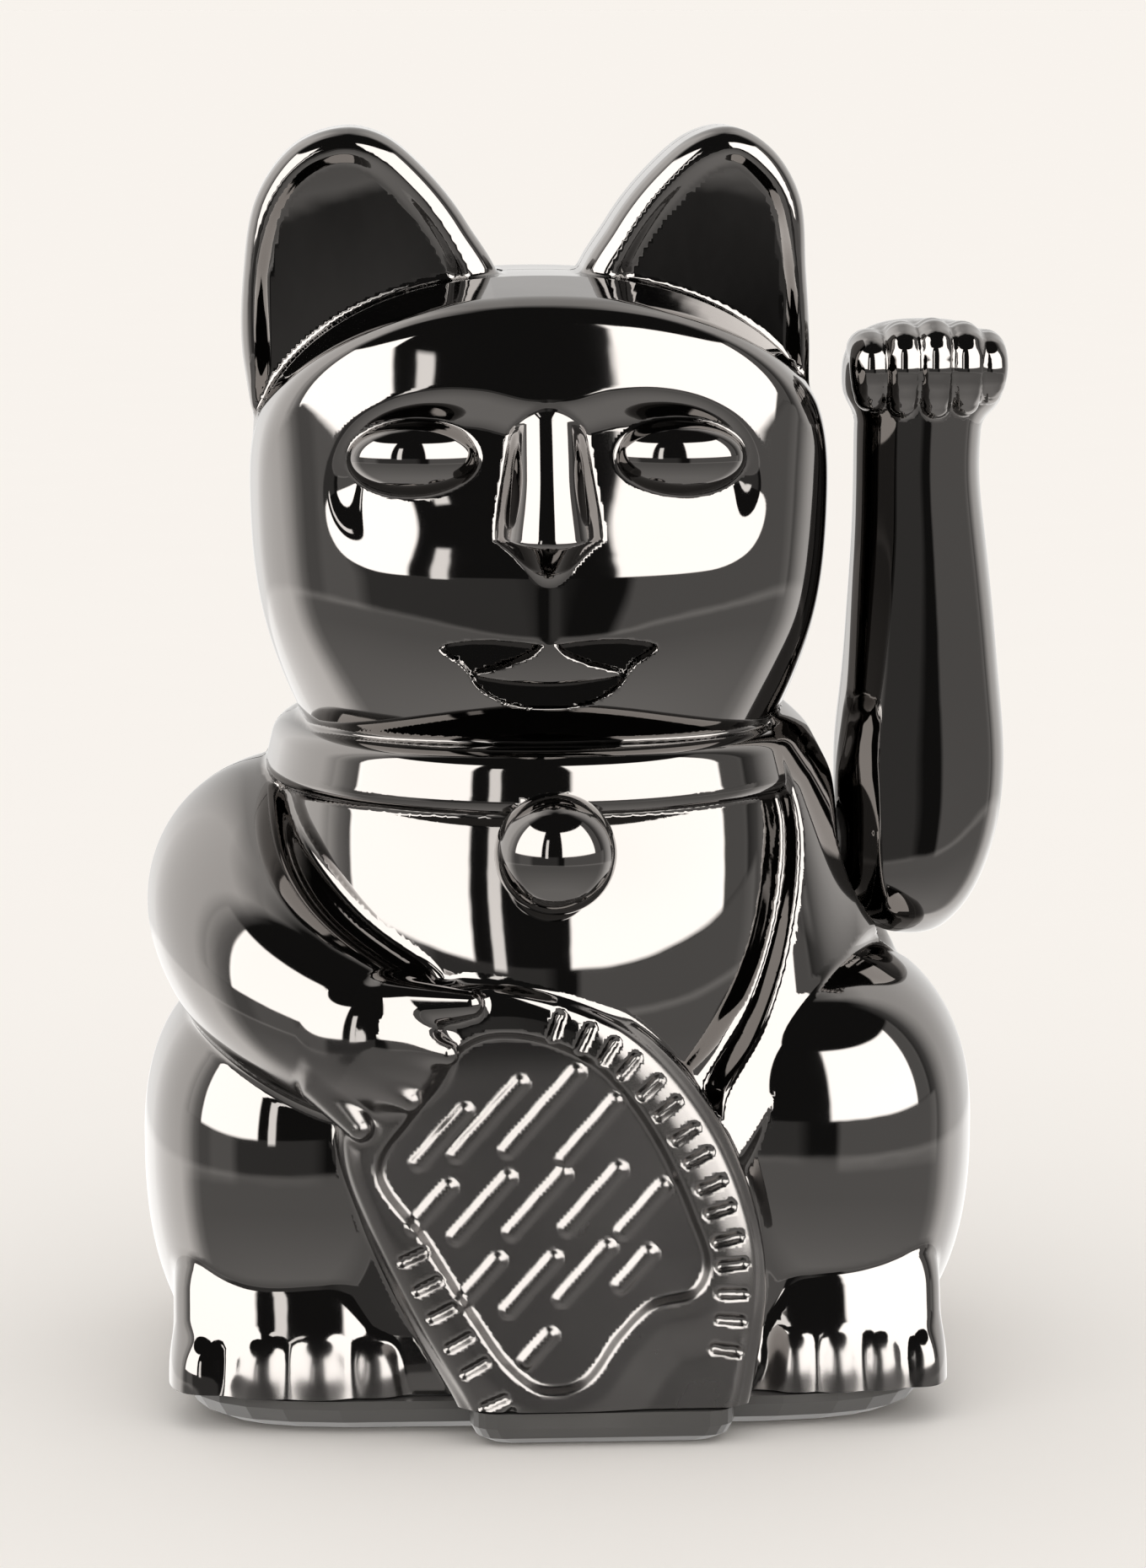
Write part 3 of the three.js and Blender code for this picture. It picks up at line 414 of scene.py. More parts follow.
def coin(P):
    """The coin, leaning back, with a raised rim, bars and notches."""
    x, depth, z = lean(P)
    edge = COIN(x, z)
    field = COIN_FIELD(x, z)
    d = slab(edge, depth, 0, COIN_THICK, 2.6)
    sunk = 1.2 * smooth(-field, -0.7, 0.7) + 0.9 * smooth(field, 2.0, 8.0)
    for bx, bz, length in BARS:
        u = (x - bx) * math.cos(BAR_SLANT) + (z - bz) * math.sin(BAR_SLANT)
        v = -(x - bx) * math.sin(BAR_SLANT) + (z - bz) * math.cos(BAR_SLANT)
        rod = np.hypot(np.maximum(np.abs(u) - length / 2, 0), v)
        sunk = sunk - BAR_RISE * smooth(-rod, -1.3, -0.25)
    for nx, nz, tx, tz in NOTCHES:
        u, v = (x - nx) * tx + (z - nz) * tz, -(x - nx) * tz + (z - nz) * tx
        reach = np.hypot(np.maximum(np.abs(v) - 1.3, 0), u)
        sunk = sunk + NOTCH_DEPTH * smooth(-reach, -0.95, -0.1)
    return d + sunk * smooth(-depth, -3.0, -1.4)


def foot(P, s):
    """Foot on the side s, a slanted block with four toes."""
    x0, x1, t0, t1 = FOOT[s]
    mid = (x0 + x1) / 2
    front = -0.95 * (P[:, 1] + 35.2 - 0.33 * (P[:, 2] - 10) - FOOT_CURVE * (P[:, 0] - mid) ** 2)
    d = smax(smax(front, P[:, 2] - 21, 5.0), np.maximum(x0 - P[:, 0], P[:, 0] - x1), 4.0)
    d = smax(d, P[:, 1] + 6, 2.0)
    step = (t1 - t0) / 4
    for i in range(4):
        x = t0 + step * (i + 0.5)
        toe = egg(P, (x, -30.8 + FOOT_CURVE * (x - mid) ** 2, 5.0), (step * 0.64, 6.8, 6.2), 2.4)
        d = smin(d, toe, 1.4)
    return d


def crown(P):
    """The rounded arch over the head; it falls towards the face."""
    t = P[:, 2] - 107.0
    fall = 0.16 * np.clip(-P[:, 1] - 13, 0, 30)
    up = t > 0
    t = np.where(up, t + fall * np.clip(t / 10, 0, 1), t)
    return oval(P[:, 0], t, 34.95, np.where(up, 25.9, 42.0), 2.25)


def relief(P):
    """Raised (+) and sunk (-) parts of the face, in millimetres, seen from the front."""
    x, z = P[:, 0], P[:, 2]
    X = np.abs(x)
    socket = 3.0 * smooth(-SOCKET(X, z), -0.4, 4.8) * smooth(z, 99.0, 111.0)
    socket = socket * (1 - 0.3 * smooth(X, 17, 26))
    muzzle = 0.7 * np.exp(-(x / 13.5) ** 2 - ((z - 90) / 6.6) ** 2)
    t = z - NOSE_Z
    ridge = smin(4.4 - 0.338 * t, 4.4 + 0.98 * t, 0.6)
    narrow = 0.060 + 0.025 * smooth(t, 0, 8) + 0.16 * np.clip(-t / 5.4, 0, 1)
    out = smax(muzzle - socket, ridge - narrow * X ** 2.5, 1.0)
    return out - 0.05 * np.exp(-(x / 0.9) ** 2) * smooth(z, 91.6, 93) * smooth(-z, -99.6, -98)


def head(P):
    """The head without its ears."""
    d = smax(HEAD(P), crown(P), 2.4)

    def face(d, P):
        d = d - relief(P) * smooth(-P[:, 1], 18, 23)
        Q = P.copy()
        Q[:, 0] = np.abs(P[:, 0])
        return smin(d, egg(Q, EYE, EYE_R), 0.45)

    def mouth(d, P):
        x, z = P[:, 0], P[:, 2]
        outline = np.maximum(LIPS(x, z), -TONGUE(x, z))
        recess = P[:, 1] + 28.8 - 0.2 * (z - 88)
        return smax(d, -np.maximum(outline, recess), 0.25)

    d = local(d, P, (-30, -46, 80), (30, -20, 128), face, 2)
    return local(d, P, (-13, -40, 84), (13, -28, 93), mouth, 2)


def hand(P):
    """The paw laid over the coin's edge."""
    d = egg(P, PAW, PAW_R, 2.2)
    for keys in FINGERS:
        d = smin(d, chain(P, keys), 0.7)
    return d


def trunk(P):
    """The body below the collar."""
    d = smax(TORSO(P), P[:, 2] - SHOULDER_Z, 2)
    d = smin(d, smax(footprint(P, 2.2), P[:, 2] - 9, 3.0), 2.5)

    def bib(d, P):
        e = oval(P[:, 0], P[:, 2] - 76, 31.4, 44.8, 2.0)
        return smin(d, smax(smax(CHEST(P), e, 3.4), P[:, 2] - SHOULDER_Z, 1), 1.0)

    def sleeve(d, P):
        thick = 1.5 + 1.9 * smooth(-P[:, 0], -37.5, -27.5)
        return d - thick * smooth(-SLEEVE(P[:, 0], P[:, 2]), -1.3, 1.7) * smooth(-P[:, 1], 1, 8)

    d = local(d, P, (10, -44, 28), (50, 0, 84), sleeve, 1)
    d = local(d, P, (-34, -44, 24), (36, -2, 84), bib, 2)
    for s, (c, r) in HAUNCH.items():
        lo, hi = (c[0] - 21, -36, -4), (c[0] + 21, 18, 54)
        d = local(d, P, lo, hi, lambda d, P: smin(d, egg(P, c, r, 2.4, 30), 0.9))
        lo, hi = (FOOT[s][0], -42, -8), (FOOT[s][1], 0, 21)
        d = local(d, P, lo, hi, lambda d, P: smin(d, foot(P, s), 0.6))
    d = local(d, P, (-50, -46, 34), (-8, 22, 78), lambda d, P: smin(d, limb(P, LEFT_ARM), 1.4))
    d = local(d, P, (-20, 28, 0), (24, 48, 50), lambda d, P: smin(d, limb(P, TAIL), 0.9))
    return d


def body(P):
    """Outer surface of the two body shells together."""
    d = trunk(P)
    up = P[:, 2] > 68
    if up.any():
        d = d.copy()
        d[up] = smin(d[up], head(P[up]), 0.5)

    def collar(d, P):
        rho = oval(P[:, 0], P[:, 1] + 2.4, 28.9, 29.4, 2.1)
        rise = P[:, 2] - COLLAR_Z
        return smin(d, rounded(np.stack([np.abs(rho + 0.24 * rise) - 1.4, np.abs(rise) - 1.5], 1), 2.2), 1.0)

    def bell(d, P):
        return smin(d, np.linalg.norm(P - BELL, axis=1) - BELL_R, 0.2)

    d = local(d, P, (-34, -36, 71), (34, 30, 81), collar, 4)
    for s in (-1, 1):
        lo, hi = (min(s * 4, s * 36), -12, 108), (max(s * 4, s * 36), 9, 150)
        d = local(d, P, lo, hi, lambda d, P: smin(d, ear(P, s), 0.8))
    d = local(d, P, (-28, -50, -6), (28, -26, 58), lambda d, P: smin(d, smin(coin(P), hand(P), 1.6), 0.8))
    d = local(d, P, (-7, -46, 60), (8, -28, 77), bell)

    def around_axle(P, radius, x):
        """Room of that radius about the axle, from x outwards."""
        return np.maximum(np.hypot(P[:, 1] - SEAM, P[:, 2] - PIVOT_Z) - radius, x - P[:, 0])

    # room for the raised arm's hub, for the arm above it, and for the axle
    d = local(d, P, (34, -16, 46), (70, 16, 80), lambda d, P: smax(d, -around_axle(P, PAD_R, PAD_X), 1.4))
    d = local(d, P, (34, -60, 71), (80, 60, 110), lambda d, P: smax(d, P[:, 0] - PAD_X, 0.8))
    return local(d, P, (30, -8, 54), (44, 8, 72), lambda d, P: smax(d, -around_axle(P, BORE_R, BORE_X), 0.3))


# ------------------------------------------------------------------ the raised arm
ARM = Column([
    (50, 44.4, 46.6, -0.8, 0.8, 2), (52.0, 42.0, 49.2, -3.6, 3.6, 2), (54, 39.2, 51.2, -7, 7, 2.2),
    (57, 37.1, 53.3, -9.4, 9.5, 2.4), (61, 36.5, 55.1, -10.2, 10.8, 2.5), (67, 36.5, 56.6, -10.2, 11, 2.5),
    (75, 36.5, 57, -9.8, 10.6, 2.5), (83, 37.2, 56.3, -9.5, 9.8, 2.4), (92, 37.8, 55.4, -9.3, 9.2, 2.3),
    (102, 38.3, 54.2, -9.1, 8.6, 2.2), (110, 38.4, 53.5, -9, 8.2, 2.2), (118, 38.6, 53.8, -8.8, 8, 2.2),
    (124, 39.6, 52.8, -7, 7, 2.2), (130, 42, 50, -4, 4, 2.0)])
FIST, FIST_R, FIST_LOW = (46.7, 0.4, 119.8), (9.7, 8.6, 7.0), 6.0     # FIST_LOW: height of the lower half
# the curled fingers: (x, radius, height of the tip)
LOBES = [(39.6, 2.5, 118.2), (43.4, 2.3, 117.4), (47.1, 2.3, 117.2), (50.7, 2.3, 117.6), (53.6, 2.1, 118.6)]


def arm(P):
    """Outer surface of the raised arm and its fist."""
    d = smax(ARM(P), 51.8 - P[:, 2], 1.5)
    d = smax(d, P[:, 2] - 124, 4)
    d = smin(d, egg(P, FIST, FIST_R, 2.6, FIST_LOW), 1.2)
    for x, r, tip in LOBES:
        back = 0.16 * (x - 47) ** 2 / 6
        keys = [(x, -2.5, 124.8 - back, r), (x, -8.0 + back, 124.4 - back, r), (x, -9.2 + back, 121, r),
                (x, -8.4 + back, tip, r - 0.5)]
        d = smin(d, chain(P, keys), 0.5)
    return d


# ------------------------------------------------------------------ meshing
BATCH = 200000                               # points whose distance is taken in one go
BLOCK = 4                                    # cells along one side of a block of skin()'s grid
OUTER_SKIN, SAME_WAY = 0.3, 0.3              # most distance, least cosine for the field's normal
ON_PLANE = 1e-3                              # nearer to a plane than this counts as on it
# a block is sampled point by point where the surface may come as near its middle as
# its half diagonal, stretched by SLACK, plus MARGIN
HALF_DIAGONAL, SLACK, MARGIN = 0.87, 1.6, 0.8


def sample(field, P):
    """Distances of the points P, batch by batch."""
    out = np.empty(len(P))
    for i in range(0, len(P), BATCH):
        out[i:i + BATCH] = field(P[i:i + BATCH])
    return out


def slope(field, P, e=0.04):
    """Gradient of field at the points P."""
    k = np.array([(1, -1, -1), (-1, -1, 1), (-1, 1, -1), (1, 1, 1)], float)
    return sum(k[i] * sample(field, P + k[i] * e)[:, None] for i in range(4)) / (4 * e)


def tabulate(field, lo, hi, h, level):
    """Field minus level on a grid of pitch h: every point near the surface, one value per block elsewhere."""
    n = np.ceil((hi - lo) / (h * BLOCK)).astype(int) + 1
    middles = [lo[i] + (np.arange(n[i]) + 0.5) * h * BLOCK for i in range(3)]
    centres = np.stack(np.meshgrid(*middles, indexing="ij"), -1).reshape(-1, 3)
    coarse = sample(field, centres) - level
    V = coarse.reshape(n).astype(np.float32)
    for axis in range(3):
        V = np.repeat(V, BLOCK, axis)
    near = np.nonzero(np.abs(coarse) < h * BLOCK * HALF_DIAGONAL * SLACK + MARGIN)[0]
    inner = np.stack(np.meshgrid(*[np.arange(BLOCK)] * 3, indexing="ij"), -1).reshape(-1, 3)
    offset = (inner - BLOCK / 2 + 0.5) * h
    fine = sample(field, (centres[near][:, None] + offset[None]).reshape(-1, 3)) - level
    corner = np.stack(np.unravel_index(near, n), 1) * BLOCK
    at = (corner[:, None] + inner[None]).reshape(-1, 3)
    V[at[:, 0], at[:, 1], at[:, 2]] = fine
    return V


def crossings(V):
    """Cells that the surface crosses: the mean of the crossings on each one's edges, and a grid of ids."""
    inside = V < 0
    corners = np.zeros(np.array(V.shape) - 1, np.uint8)
    for c in range(8):
        i, j, k = c >> 2, (c >> 1) & 1, c & 1
        corners += inside[i:i + corners.shape[0], j:j + corners.shape[1], k:k + corners.shape[2]]
    on = (corners > 0) & (corners < 8)
    ids = np.full(corners.shape, -1, np.int64)
    ids[on] = np.arange(on.sum())
    cells = np.stack(np.nonzero(on), 1)
    total, count = np.zeros((len(cells), 3)), np.zeros(len(cells))
    for axis in range(3):
        o1, o2 = [a for a in range(3) if a != axis]
        for a, b in ((0, 0), (0, 1), (1, 0), (1, 1)):
            p = cells.copy()
            p[:, o1] += a
            p[:, o2] += b
            q = p.copy()
            q[:, axis] += 1
            va, vb = V[tuple(p.T)].astype(float), V[tuple(q.T)].astype(float)
            m = (va < 0) != (vb < 0)
            t = va[m] / (va[m] - vb[m])
            total[m] += p[m] + t[:, None] * (q[m] - p[m])
            count[m] += 1
    return total / count[:, None], ids


def quads_across(V, ids):
    """One quad for each grid edge that the surface crosses, facing out."""
    inside, size, quads = V < 0, ids.shape, []
    for axis in range(3):
        o1, o2 = (axis + 1) % 3, (axis + 2) % 3
        a, b = [slice(None)] * 3, [slice(None)] * 3
        a[axis], b[axis] = slice(0, -1), slice(1, None)
        p = np.stack(np.nonzero(inside[tuple(a)] != inside[tuple(b)]), 1)
        p = p[(p[:, o1] > 0) & (p[:, o2] > 0) & (p[:, o1] < size[o1]) & (p[:, o2] < size[o2])]
        ring = []
        for d1, d2 in ((-1, -1), (0, -1), (0, 0), (-1, 0)):
            q = p.copy()
            q[:, o1] += d1
            q[:, o2] += d2
            ring.append(ids[tuple(q.T)])
        ring = np.stack(ring, 1)
        outward = inside[tuple(p.T)]
        ring[~outward] = ring[~outward][:, ::-1]
        quads.append(ring)
    quads = np.concatenate(quads)
    return quads[(quads >= 0).all(1)]


def skin(field, lo, hi, h, level=0.0, steps=4):
    """Mesh of the surface where field equals level: surface nets on a grid, moved onto the exact surface."""
    lo, hi = np.array(lo, float), np.array(hi, float)
    V = tabulate(field, lo, hi, h, level)
    places, ids = crossings(V)
    P = places * h + (lo + 0.5 * h)
    for _ in range(steps):
        g = slope(field, P)
        f = sample(field, P) - level
        P = P - np.clip(f / np.maximum((g ** 2).sum(1), 0.25), -h, h)[:, None] * g
    return P, quads_across(V, ids)


def piece(name, node):
    """Empty mesh object, standing for a CAD node."""
    o = bpy.data.objects.new(name, bpy.data.meshes.new(name))
    bpy.context.scene.collection.objects.link(o)
    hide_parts(node)
    return o


def add_mesh(bm, pts, quads, flip):
    """Adds the quads that have four different corners, turned over if flip is set."""
    used, q = np.unique(quads, return_inverse=True)
    vs = [bm.verts.new(v) for v in pts[used]]
    for f in q.reshape(-1, 4).tolist():
        f = f[::-1] if flip else f
        if len({*f}) == 4:
            bm.faces.new([vs[i] for i in f])


def patch(field, lo, hi, pitch, cuts, level=0.0, flip=False):
    """Skin of one region, trimmed to the planes in cuts: (axis, place, side kept)."""
    lo, hi = list(lo), list(hi)
    for axis, place, side in cuts:
        if side > 0:
            lo[axis] = max(lo[axis], place - 3 * pitch)
        else:
            hi[axis] = min(hi[axis], place + 3 * pitch)
    pts, quads = skin(field, lo, hi, pitch, level, 2 if level else 4)     # an inner skin is never seen close
    bm = bmesh.new()
    add_mesh(bm, pts, quads, flip)
    for axis, place, side in cuts:
        co, no = [0, 0, 0], [0, 0, 0]
        co[axis], no[axis] = place, side
        geom = bm.verts[:] + bm.edges[:] + bm.faces[:]
        bmesh.ops.bisect_plane(bm, geom=geom, plane_co=co, plane_no=no, clear_inner=True, dist=1e-5)
    me = bpy.data.meshes.new("patch")
    bm.to_mesh(me)
    bm.free()
    return me


def gather(patches):
    """One bmesh of all the patches."""
    bm = bmesh.new()
    for me in patches:
        bm.from_mesh(me)
        bpy.data.meshes.remove(me)
    return bm


def rims(bm, axis, place, side):
    """Closes the wall's thickness where the skins were trimmed on a plane."""
    edges = [e for e in bm.edges
             if e.is_boundary and all(abs(v.co[axis] - place) < ON_PLANE for v in e.verts)]
    no = [0, 0, 0]
    no[axis] = -side
    bmesh.ops.triangle_fill(bm, use_beauty=True, use_dissolve=False, edges=edges, normal=no)


def finish_mesh(o, bm, field, material):
    """Writes the mesh in metres, with the field's own normals on the outer skin."""
    bm.normal_update()
    me = o.data
    bm.to_mesh(me)
    bm.free()
    co = np.empty(len(me.vertices) * 3)
    me.vertices.foreach_get("co", co)
    co = co.reshape(-1, 3)
    outside = np.abs(sample(field, co)) < OUTER_SKIN
    g = slope(field, co)
    g /= np.maximum(np.linalg.norm(g, axis=1), 1e-9)[:, None]
    vertex = np.empty(len(me.loops), np.int32)
    me.loops.foreach_get("vertex_index", vertex)
    counts = np.empty(len(me.polygons), np.int32)
    me.polygons.foreach_get("loop_total", counts)
    fn = np.empty(len(me.polygons) * 3)
    me.polygons.foreach_get("normal", fn)
    fn = np.repeat(fn.reshape(-1, 3), counts, axis=0)
    use = outside[vertex] & ((g[vertex] * fn).sum(1) > SAME_WAY)
    normal = np.where(use[:, None], g[vertex], fn)
    me.vertices.foreach_set("co", (co * MM).ravel())
    me.polygons.foreach_set("use_smooth", np.ones(len(me.polygons), bool))
    me.update()
    me.normals_split_custom_set(normal)
    me.materials.append(material)


# ------------------------------------------------------------------ materials
def nodes_of(name):
    """New material, its node tree and its principled shader."""
    m = bpy.data.materials.new(name)
    m.use_nodes = True
    t = m.node_tree
    return m, t, t.nodes["Principled BSDF"]


def noise(t, coords, scale, detail=2.0, rough=0.5):
    n = t.nodes.new("ShaderNodeTexNoise")
    n.inputs["Scale"].default_value = scale
    n.inputs["Detail"].default_value = detail
    n.inputs["Roughness"].default_value = rough
    t.links.new(coords, n.inputs["Vector"])
    return n.outputs["Fac"]


def ramp(t, fac, stops):
    """Colour that runs between two stops, each (place, colour)."""
    r = t.nodes.new("ShaderNodeValToRGB")
    for e, (place, colour) in zip(r.color_ramp.elements, stops):
        e.position, e.color = place, (*colour, 1)
    t.links.new(fac, r.inputs["Fac"])
    return r.outputs["Color"]


def maths(t, kind, a, b=None, clamp=False):
    """Math node; a and b are sockets or numbers."""
    n = t.nodes.new("ShaderNodeMath")
    n.operation, n.use_clamp = kind, clamp
    for socket, v in zip(n.inputs, (a, b)):
        if isinstance(v, (int, float)):
            socket.default_value = v
        elif v is not None:
            t.links.new(v, socket)
    return n.outputs[0]


def bump(t, height, strength, distance, bsdf):
    b = t.nodes.new("ShaderNodeBump")
    b.inputs["Strength"].default_value = strength
    b.inputs["Distance"].default_value = distance
    t.links.new(height, b.inputs["Height"])
    t.links.new(b.outputs["Normal"], bsdf.inputs["Normal"])


def vary(t, b, fac, colour, colour_span, rough, rough_span):
    """Colour and roughness that wander between two multiples of themselves."""
    c, (low, high) = np.array(colour), colour_span
    tones = [(0.3, tuple(c * low)), (0.7, tuple(np.minimum(c * high, 1)))]
    t.links.new(ramp(t, fac, tones), b.inputs["Base Color"])
    low, high = rough_span
    tones = [(0.3, (rough * low,) * 3), (0.7, (min(1, rough * high),) * 3)]
    t.links.new(ramp(t, fac, tones), b.inputs["Roughness"])


def chrome():
    """Black chrome plating: a near mirror, duller and grained low in front, on the coin and finger tips."""
    m, t, b = nodes_of("black_chrome")
    coords = t.nodes.new("ShaderNodeTexCoord").outputs["Object"]
    sep = t.nodes.new("ShaderNodeSeparateXYZ")
    t.links.new(coords, sep.inputs[0])

    def fade(value, start, end):
        r = t.nodes.new("ShaderNodeMapRange")
        r.interpolation_type = "SMOOTHSTEP"
        for i, v in enumerate((start * MM, end * MM, 0.0, 1.0)):
            r.inputs[i + 1].default_value = v
        t.links.new(value, r.inputs[0])
        return r.outputs[0]

    product, total = functools.partial(maths, t, "MULTIPLY"), functools.partial(maths, t, "ADD")
    low = product(fade(sep.outputs[1], -34.0, -37.5), fade(sep.outputs[2], 50.0, 42.0))
    b.inputs["Metallic"].default_value = 1.0
    tones = [(0.3, (0.156, 0.148, 0.142)), (0.7, (0.178, 0.169, 0.163))]
    t.links.new(ramp(t, noise(t, coords, 18), tones), b.inputs["Base Color"])
    gloss = ramp(t, noise(t, coords, 60, 4, 0.6), [(0.35, (0.03,) * 3), (0.75, (0.06,) * 3)])
    t.links.new(total(gloss, product(low, 0.22)), b.inputs["Roughness"])
    waves = product(noise(t, coords, 30, 1.5, 0.4), 11.0)
    ripple = product(noise(t, coords, 150), 0.25)
    grain = product(product(noise(t, coords, 5200, 2, 0.6), low), 0.04)
    bump(t, total(total(waves, grain), ripple), 1.0, 0.00006, b)
    return m


def plastic(name, colour, rough):
    """Moulded plastic with a fine grain."""
    m, t, b = nodes_of(name)
    coords = t.nodes.new("ShaderNodeTexCoord").outputs["Object"]
    vary(t, b, noise(t, coords, 40, 4), colour, (0.85, 1.12), rough, (0.85, 1.15))
    bump(t, noise(t, coords, 900), 0.35, 0.00004, b)
    return m


def metal(name, colour, rough, streak=(1, 1, 1)):
    """Bare metal; streak is the noise's scale along each axis."""
    m, t, b = nodes_of(name)
    mapping = t.nodes.new("ShaderNodeMapping")
    mapping.inputs["Scale"].default_value = streak
    t.links.new(t.nodes.new("ShaderNodeTexCoord").outputs["Object"], mapping.inputs["Vector"])
    fac = noise(t, mapping.outputs["Vector"], 400, 4)
    b.inputs["Metallic"].default_value = 1.0
    vary(t, b, fac, colour, (0.82, 1.1), rough, (0.7, 1.3))
    bump(t, fac, 0.2, 0.00003, b)
    return m


record = frame["record"]
slot_of = {s["node"]: s["material_slot"] for s in record["subparts"]}
colour_of = {m["slot"]: m["base_color"][:3] for m in record["materials"]}
PLASTICS = {                                 # roughness
    "white_plastic": 0.5, "magnet": 0.4, "board": 0.4, "component_black": 0.5, "component_blue": 0.3,
    "component_tan": 0.4, "lead_red": 0.45, "lead_black": 0.45}
METALS = {                                   # roughness, streak
    "cell_jacket": (0.35, (1, 0.05, 1)), "plated_steel": (0.25,), "bronze": (0.35,),
    "copper_wire": (0.3, (1, 1, 12)), "steel_weight": (0.4, (1, 8, 1))}
MATERIALS = {"plated_shell": chrome(), "black_plastic": plastic("black_plastic", (0.08, 0.076, 0.072), 0.45)}
MATERIALS.update({slot: plastic(slot, colour_of[slot], rough) for slot, rough in PLASTICS.items()})
MATERIALS.update({slot: metal(slot, colour_of[slot], *look) for slot, look in METALS.items()})
for name, o in frame["nodes"].items():
    o.data.materials.clear()
    o.data.materials.append(MATERIALS[slot_of[name]])

# ------------------------------------------------------------------ plated pieces
LO, HI = (-52, -50, SHELL_Z - 1), (56, 47, 153)              # round the whole body
ARM_LO, ARM_HI = (33, -14, 48), (60, 14, 130)
FINE, COARSE, INNER = ((0.5, 0.8, 2.0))     # mesh pitch
FLOOR = (2, SHELL_Z, 1)                                      # the shells' lower edge, as a cut


def front_patches():
    """Front shell: the outer skin in tiles, finest on the face and the coin, then the inner skin."""
    front = (1, SEAM - GAP, -1)
    brow, chin, cheek, neck, lap, side = 121.5, 82.6, 24.0, 76.2, 56.5, 26.6
    face, low = [(2, brow, -1), (2, chin, 1)], [(2, lap, -1), FLOOR]
    tiles = [(1.1, [(2, brow, 1)]),
             (1.1, [*face, (0, -cheek, -1)]),
             (1.1, [*face, (0, cheek, 1)]),
             (0.66, [*face, (0, -cheek, 1), (0, cheek, -1)]),
             (0.9, [(2, chin, -1), (2, neck, 1)]),
             (1.15, [(2, neck, -1), (2, lap, 1)]),
             (1.15, [*low, (0, -side, -1)]),
             (1.15, [*low, (0, side, 1)]),
             (0.8, [*low, (0, -side, 1), (0, side, -1)])]
    out = [patch(body, LO, HI, FINE * k, [front, *cuts]) for k, cuts in tiles]
    return out + [patch(body, LO, HI, INNER, [front, FLOOR], -WALL, True)]


def back_patches():
    """Back shell: outer and inner skin."""
    cuts = [(1, SEAM + GAP, 1), FLOOR]
    return [patch(body, LO, HI, COARSE, cuts), patch(body, LO, HI, INNER, cuts, -WALL, True)]


for name, node, patches, side in (("plated_front_shell", "front_shell", front_patches(), -1),
                                  ("plated_back_shell", "back_shell", back_patches(), 1)):
    o = piece(name, node)
    bm = gather(patches)
    rims(bm, 2, SHELL_Z, 1)
    rims(bm, 1, SEAM + side * GAP, side)
    finish_mesh(o, bm, body, MATERIALS["plated_shell"])
    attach(o, "body")

for name, node, side, pitch in (("plated_arm_front", "arm_front_half", -1, FINE * 0.9),
                                ("plated_arm_back", "arm_back_half", 1, COARSE * 0.8)):
    o = piece(name, node)
    place = SEAM + side * GAP * 0.4
    cut = [(1, place, side)]
    bm = gather([patch(arm, ARM_LO, ARM_HI, pitch, cut),
                 patch(arm, ARM_LO, ARM_HI, INNER * 0.8, cut, -ARM_WALL, True)])
    rims(bm, 1, place, side)
    finish_mesh(o, bm, arm, MATERIALS["plated_shell"])
    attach(o, "arm")

# ------------------------------------------------------------------ stage, light and camera
PAPER = (0.938, 0.896, 0.847)                # the pale floor and backdrop, as seen
FLOOR_RADIUS, FLOOR_DROP = 60.0, 0.0002      # in metres; the drop keeps the floor off the standing face
EVEN_LIGHT = 1.004                           # brings the lit floor to the backdrop's tone
ROOM_TONE, ROOM_TINT = 0.03, (1.0, 0.985, 0.965)
# What the plating mirrors: azimuth (from, to, softness), elevation (the same), brightness, in degrees.
# Azimuth is 0 in front of the cat and grows towards the raised arm.
ROOM = [
    ((-83, -29, 1.5), (4, 49, 1.5), 6.5), ((12, 77, 1.5), (4, 49, 1.5), 6.5),            # soft boxes
    ((-98, -83, 2), (4, 49, 2), 0.35), ((77, 92, 2), (4, 49, 2), 0.35),                  # their sides
    ((-20, -16, 1), (2, 34, 2), 4.0),                                                    # bright slit
    ((-181, -108, 17), (-100, 74, 12), 0.95), ((118, 181, 18), (-100, 74, 12), 0.9),     # walls behind
    ((-148, -106, 22), (-100, 60, 12), 1.0), ((112, 146, 22), (-100, 60, 12), 0.5),      # glow on them
    ((-70, 0, 6), (-13, 3, 1), 0.12),                                                    # dim front wall
    (None, (-100, -13, 1.5), 0.40), (None, (-100, -60, 40), 0.3),                        # ground
    ((16, 98, 3), (-13, 2, 1.5), 0.36), ((-98, -52, 8), (-13, 2, 1.5), 0.3)]             # low side walls


def stage():
    """The floor; the plating doesn't mirror it."""
    bm = bmesh.new()
    bmesh.ops.create_circle(bm, cap_ends=True, segments=96, radius=FLOOR_RADIUS)
    me = bpy.data.meshes.new("floor")
    bm.to_mesh(me)
    bm.free()
    o = bpy.data.objects.new("floor", me)
    o.location = (0, 0, cad_lo.z - FLOOR_DROP)
    bpy.context.scene.collection.objects.link(o)
    m, t, b = nodes_of("pale_floor")
    coords = t.nodes.new("ShaderNodeTexCoord").outputs["Object"]
    tone = np.array(PAPER)
    tones = [(0.3, tuple(tone * 0.996)), (0.7, tuple(tone))]
    t.links.new(ramp(t, noise(t, coords, 30, 3), tones), b.inputs["Base Color"])
    b.inputs["Roughness"].default_value = 0.9
    b.inputs["Specular IOR Level"].default_value = 0.0
    me.materials.append(m)
    o.visible_glossy = False


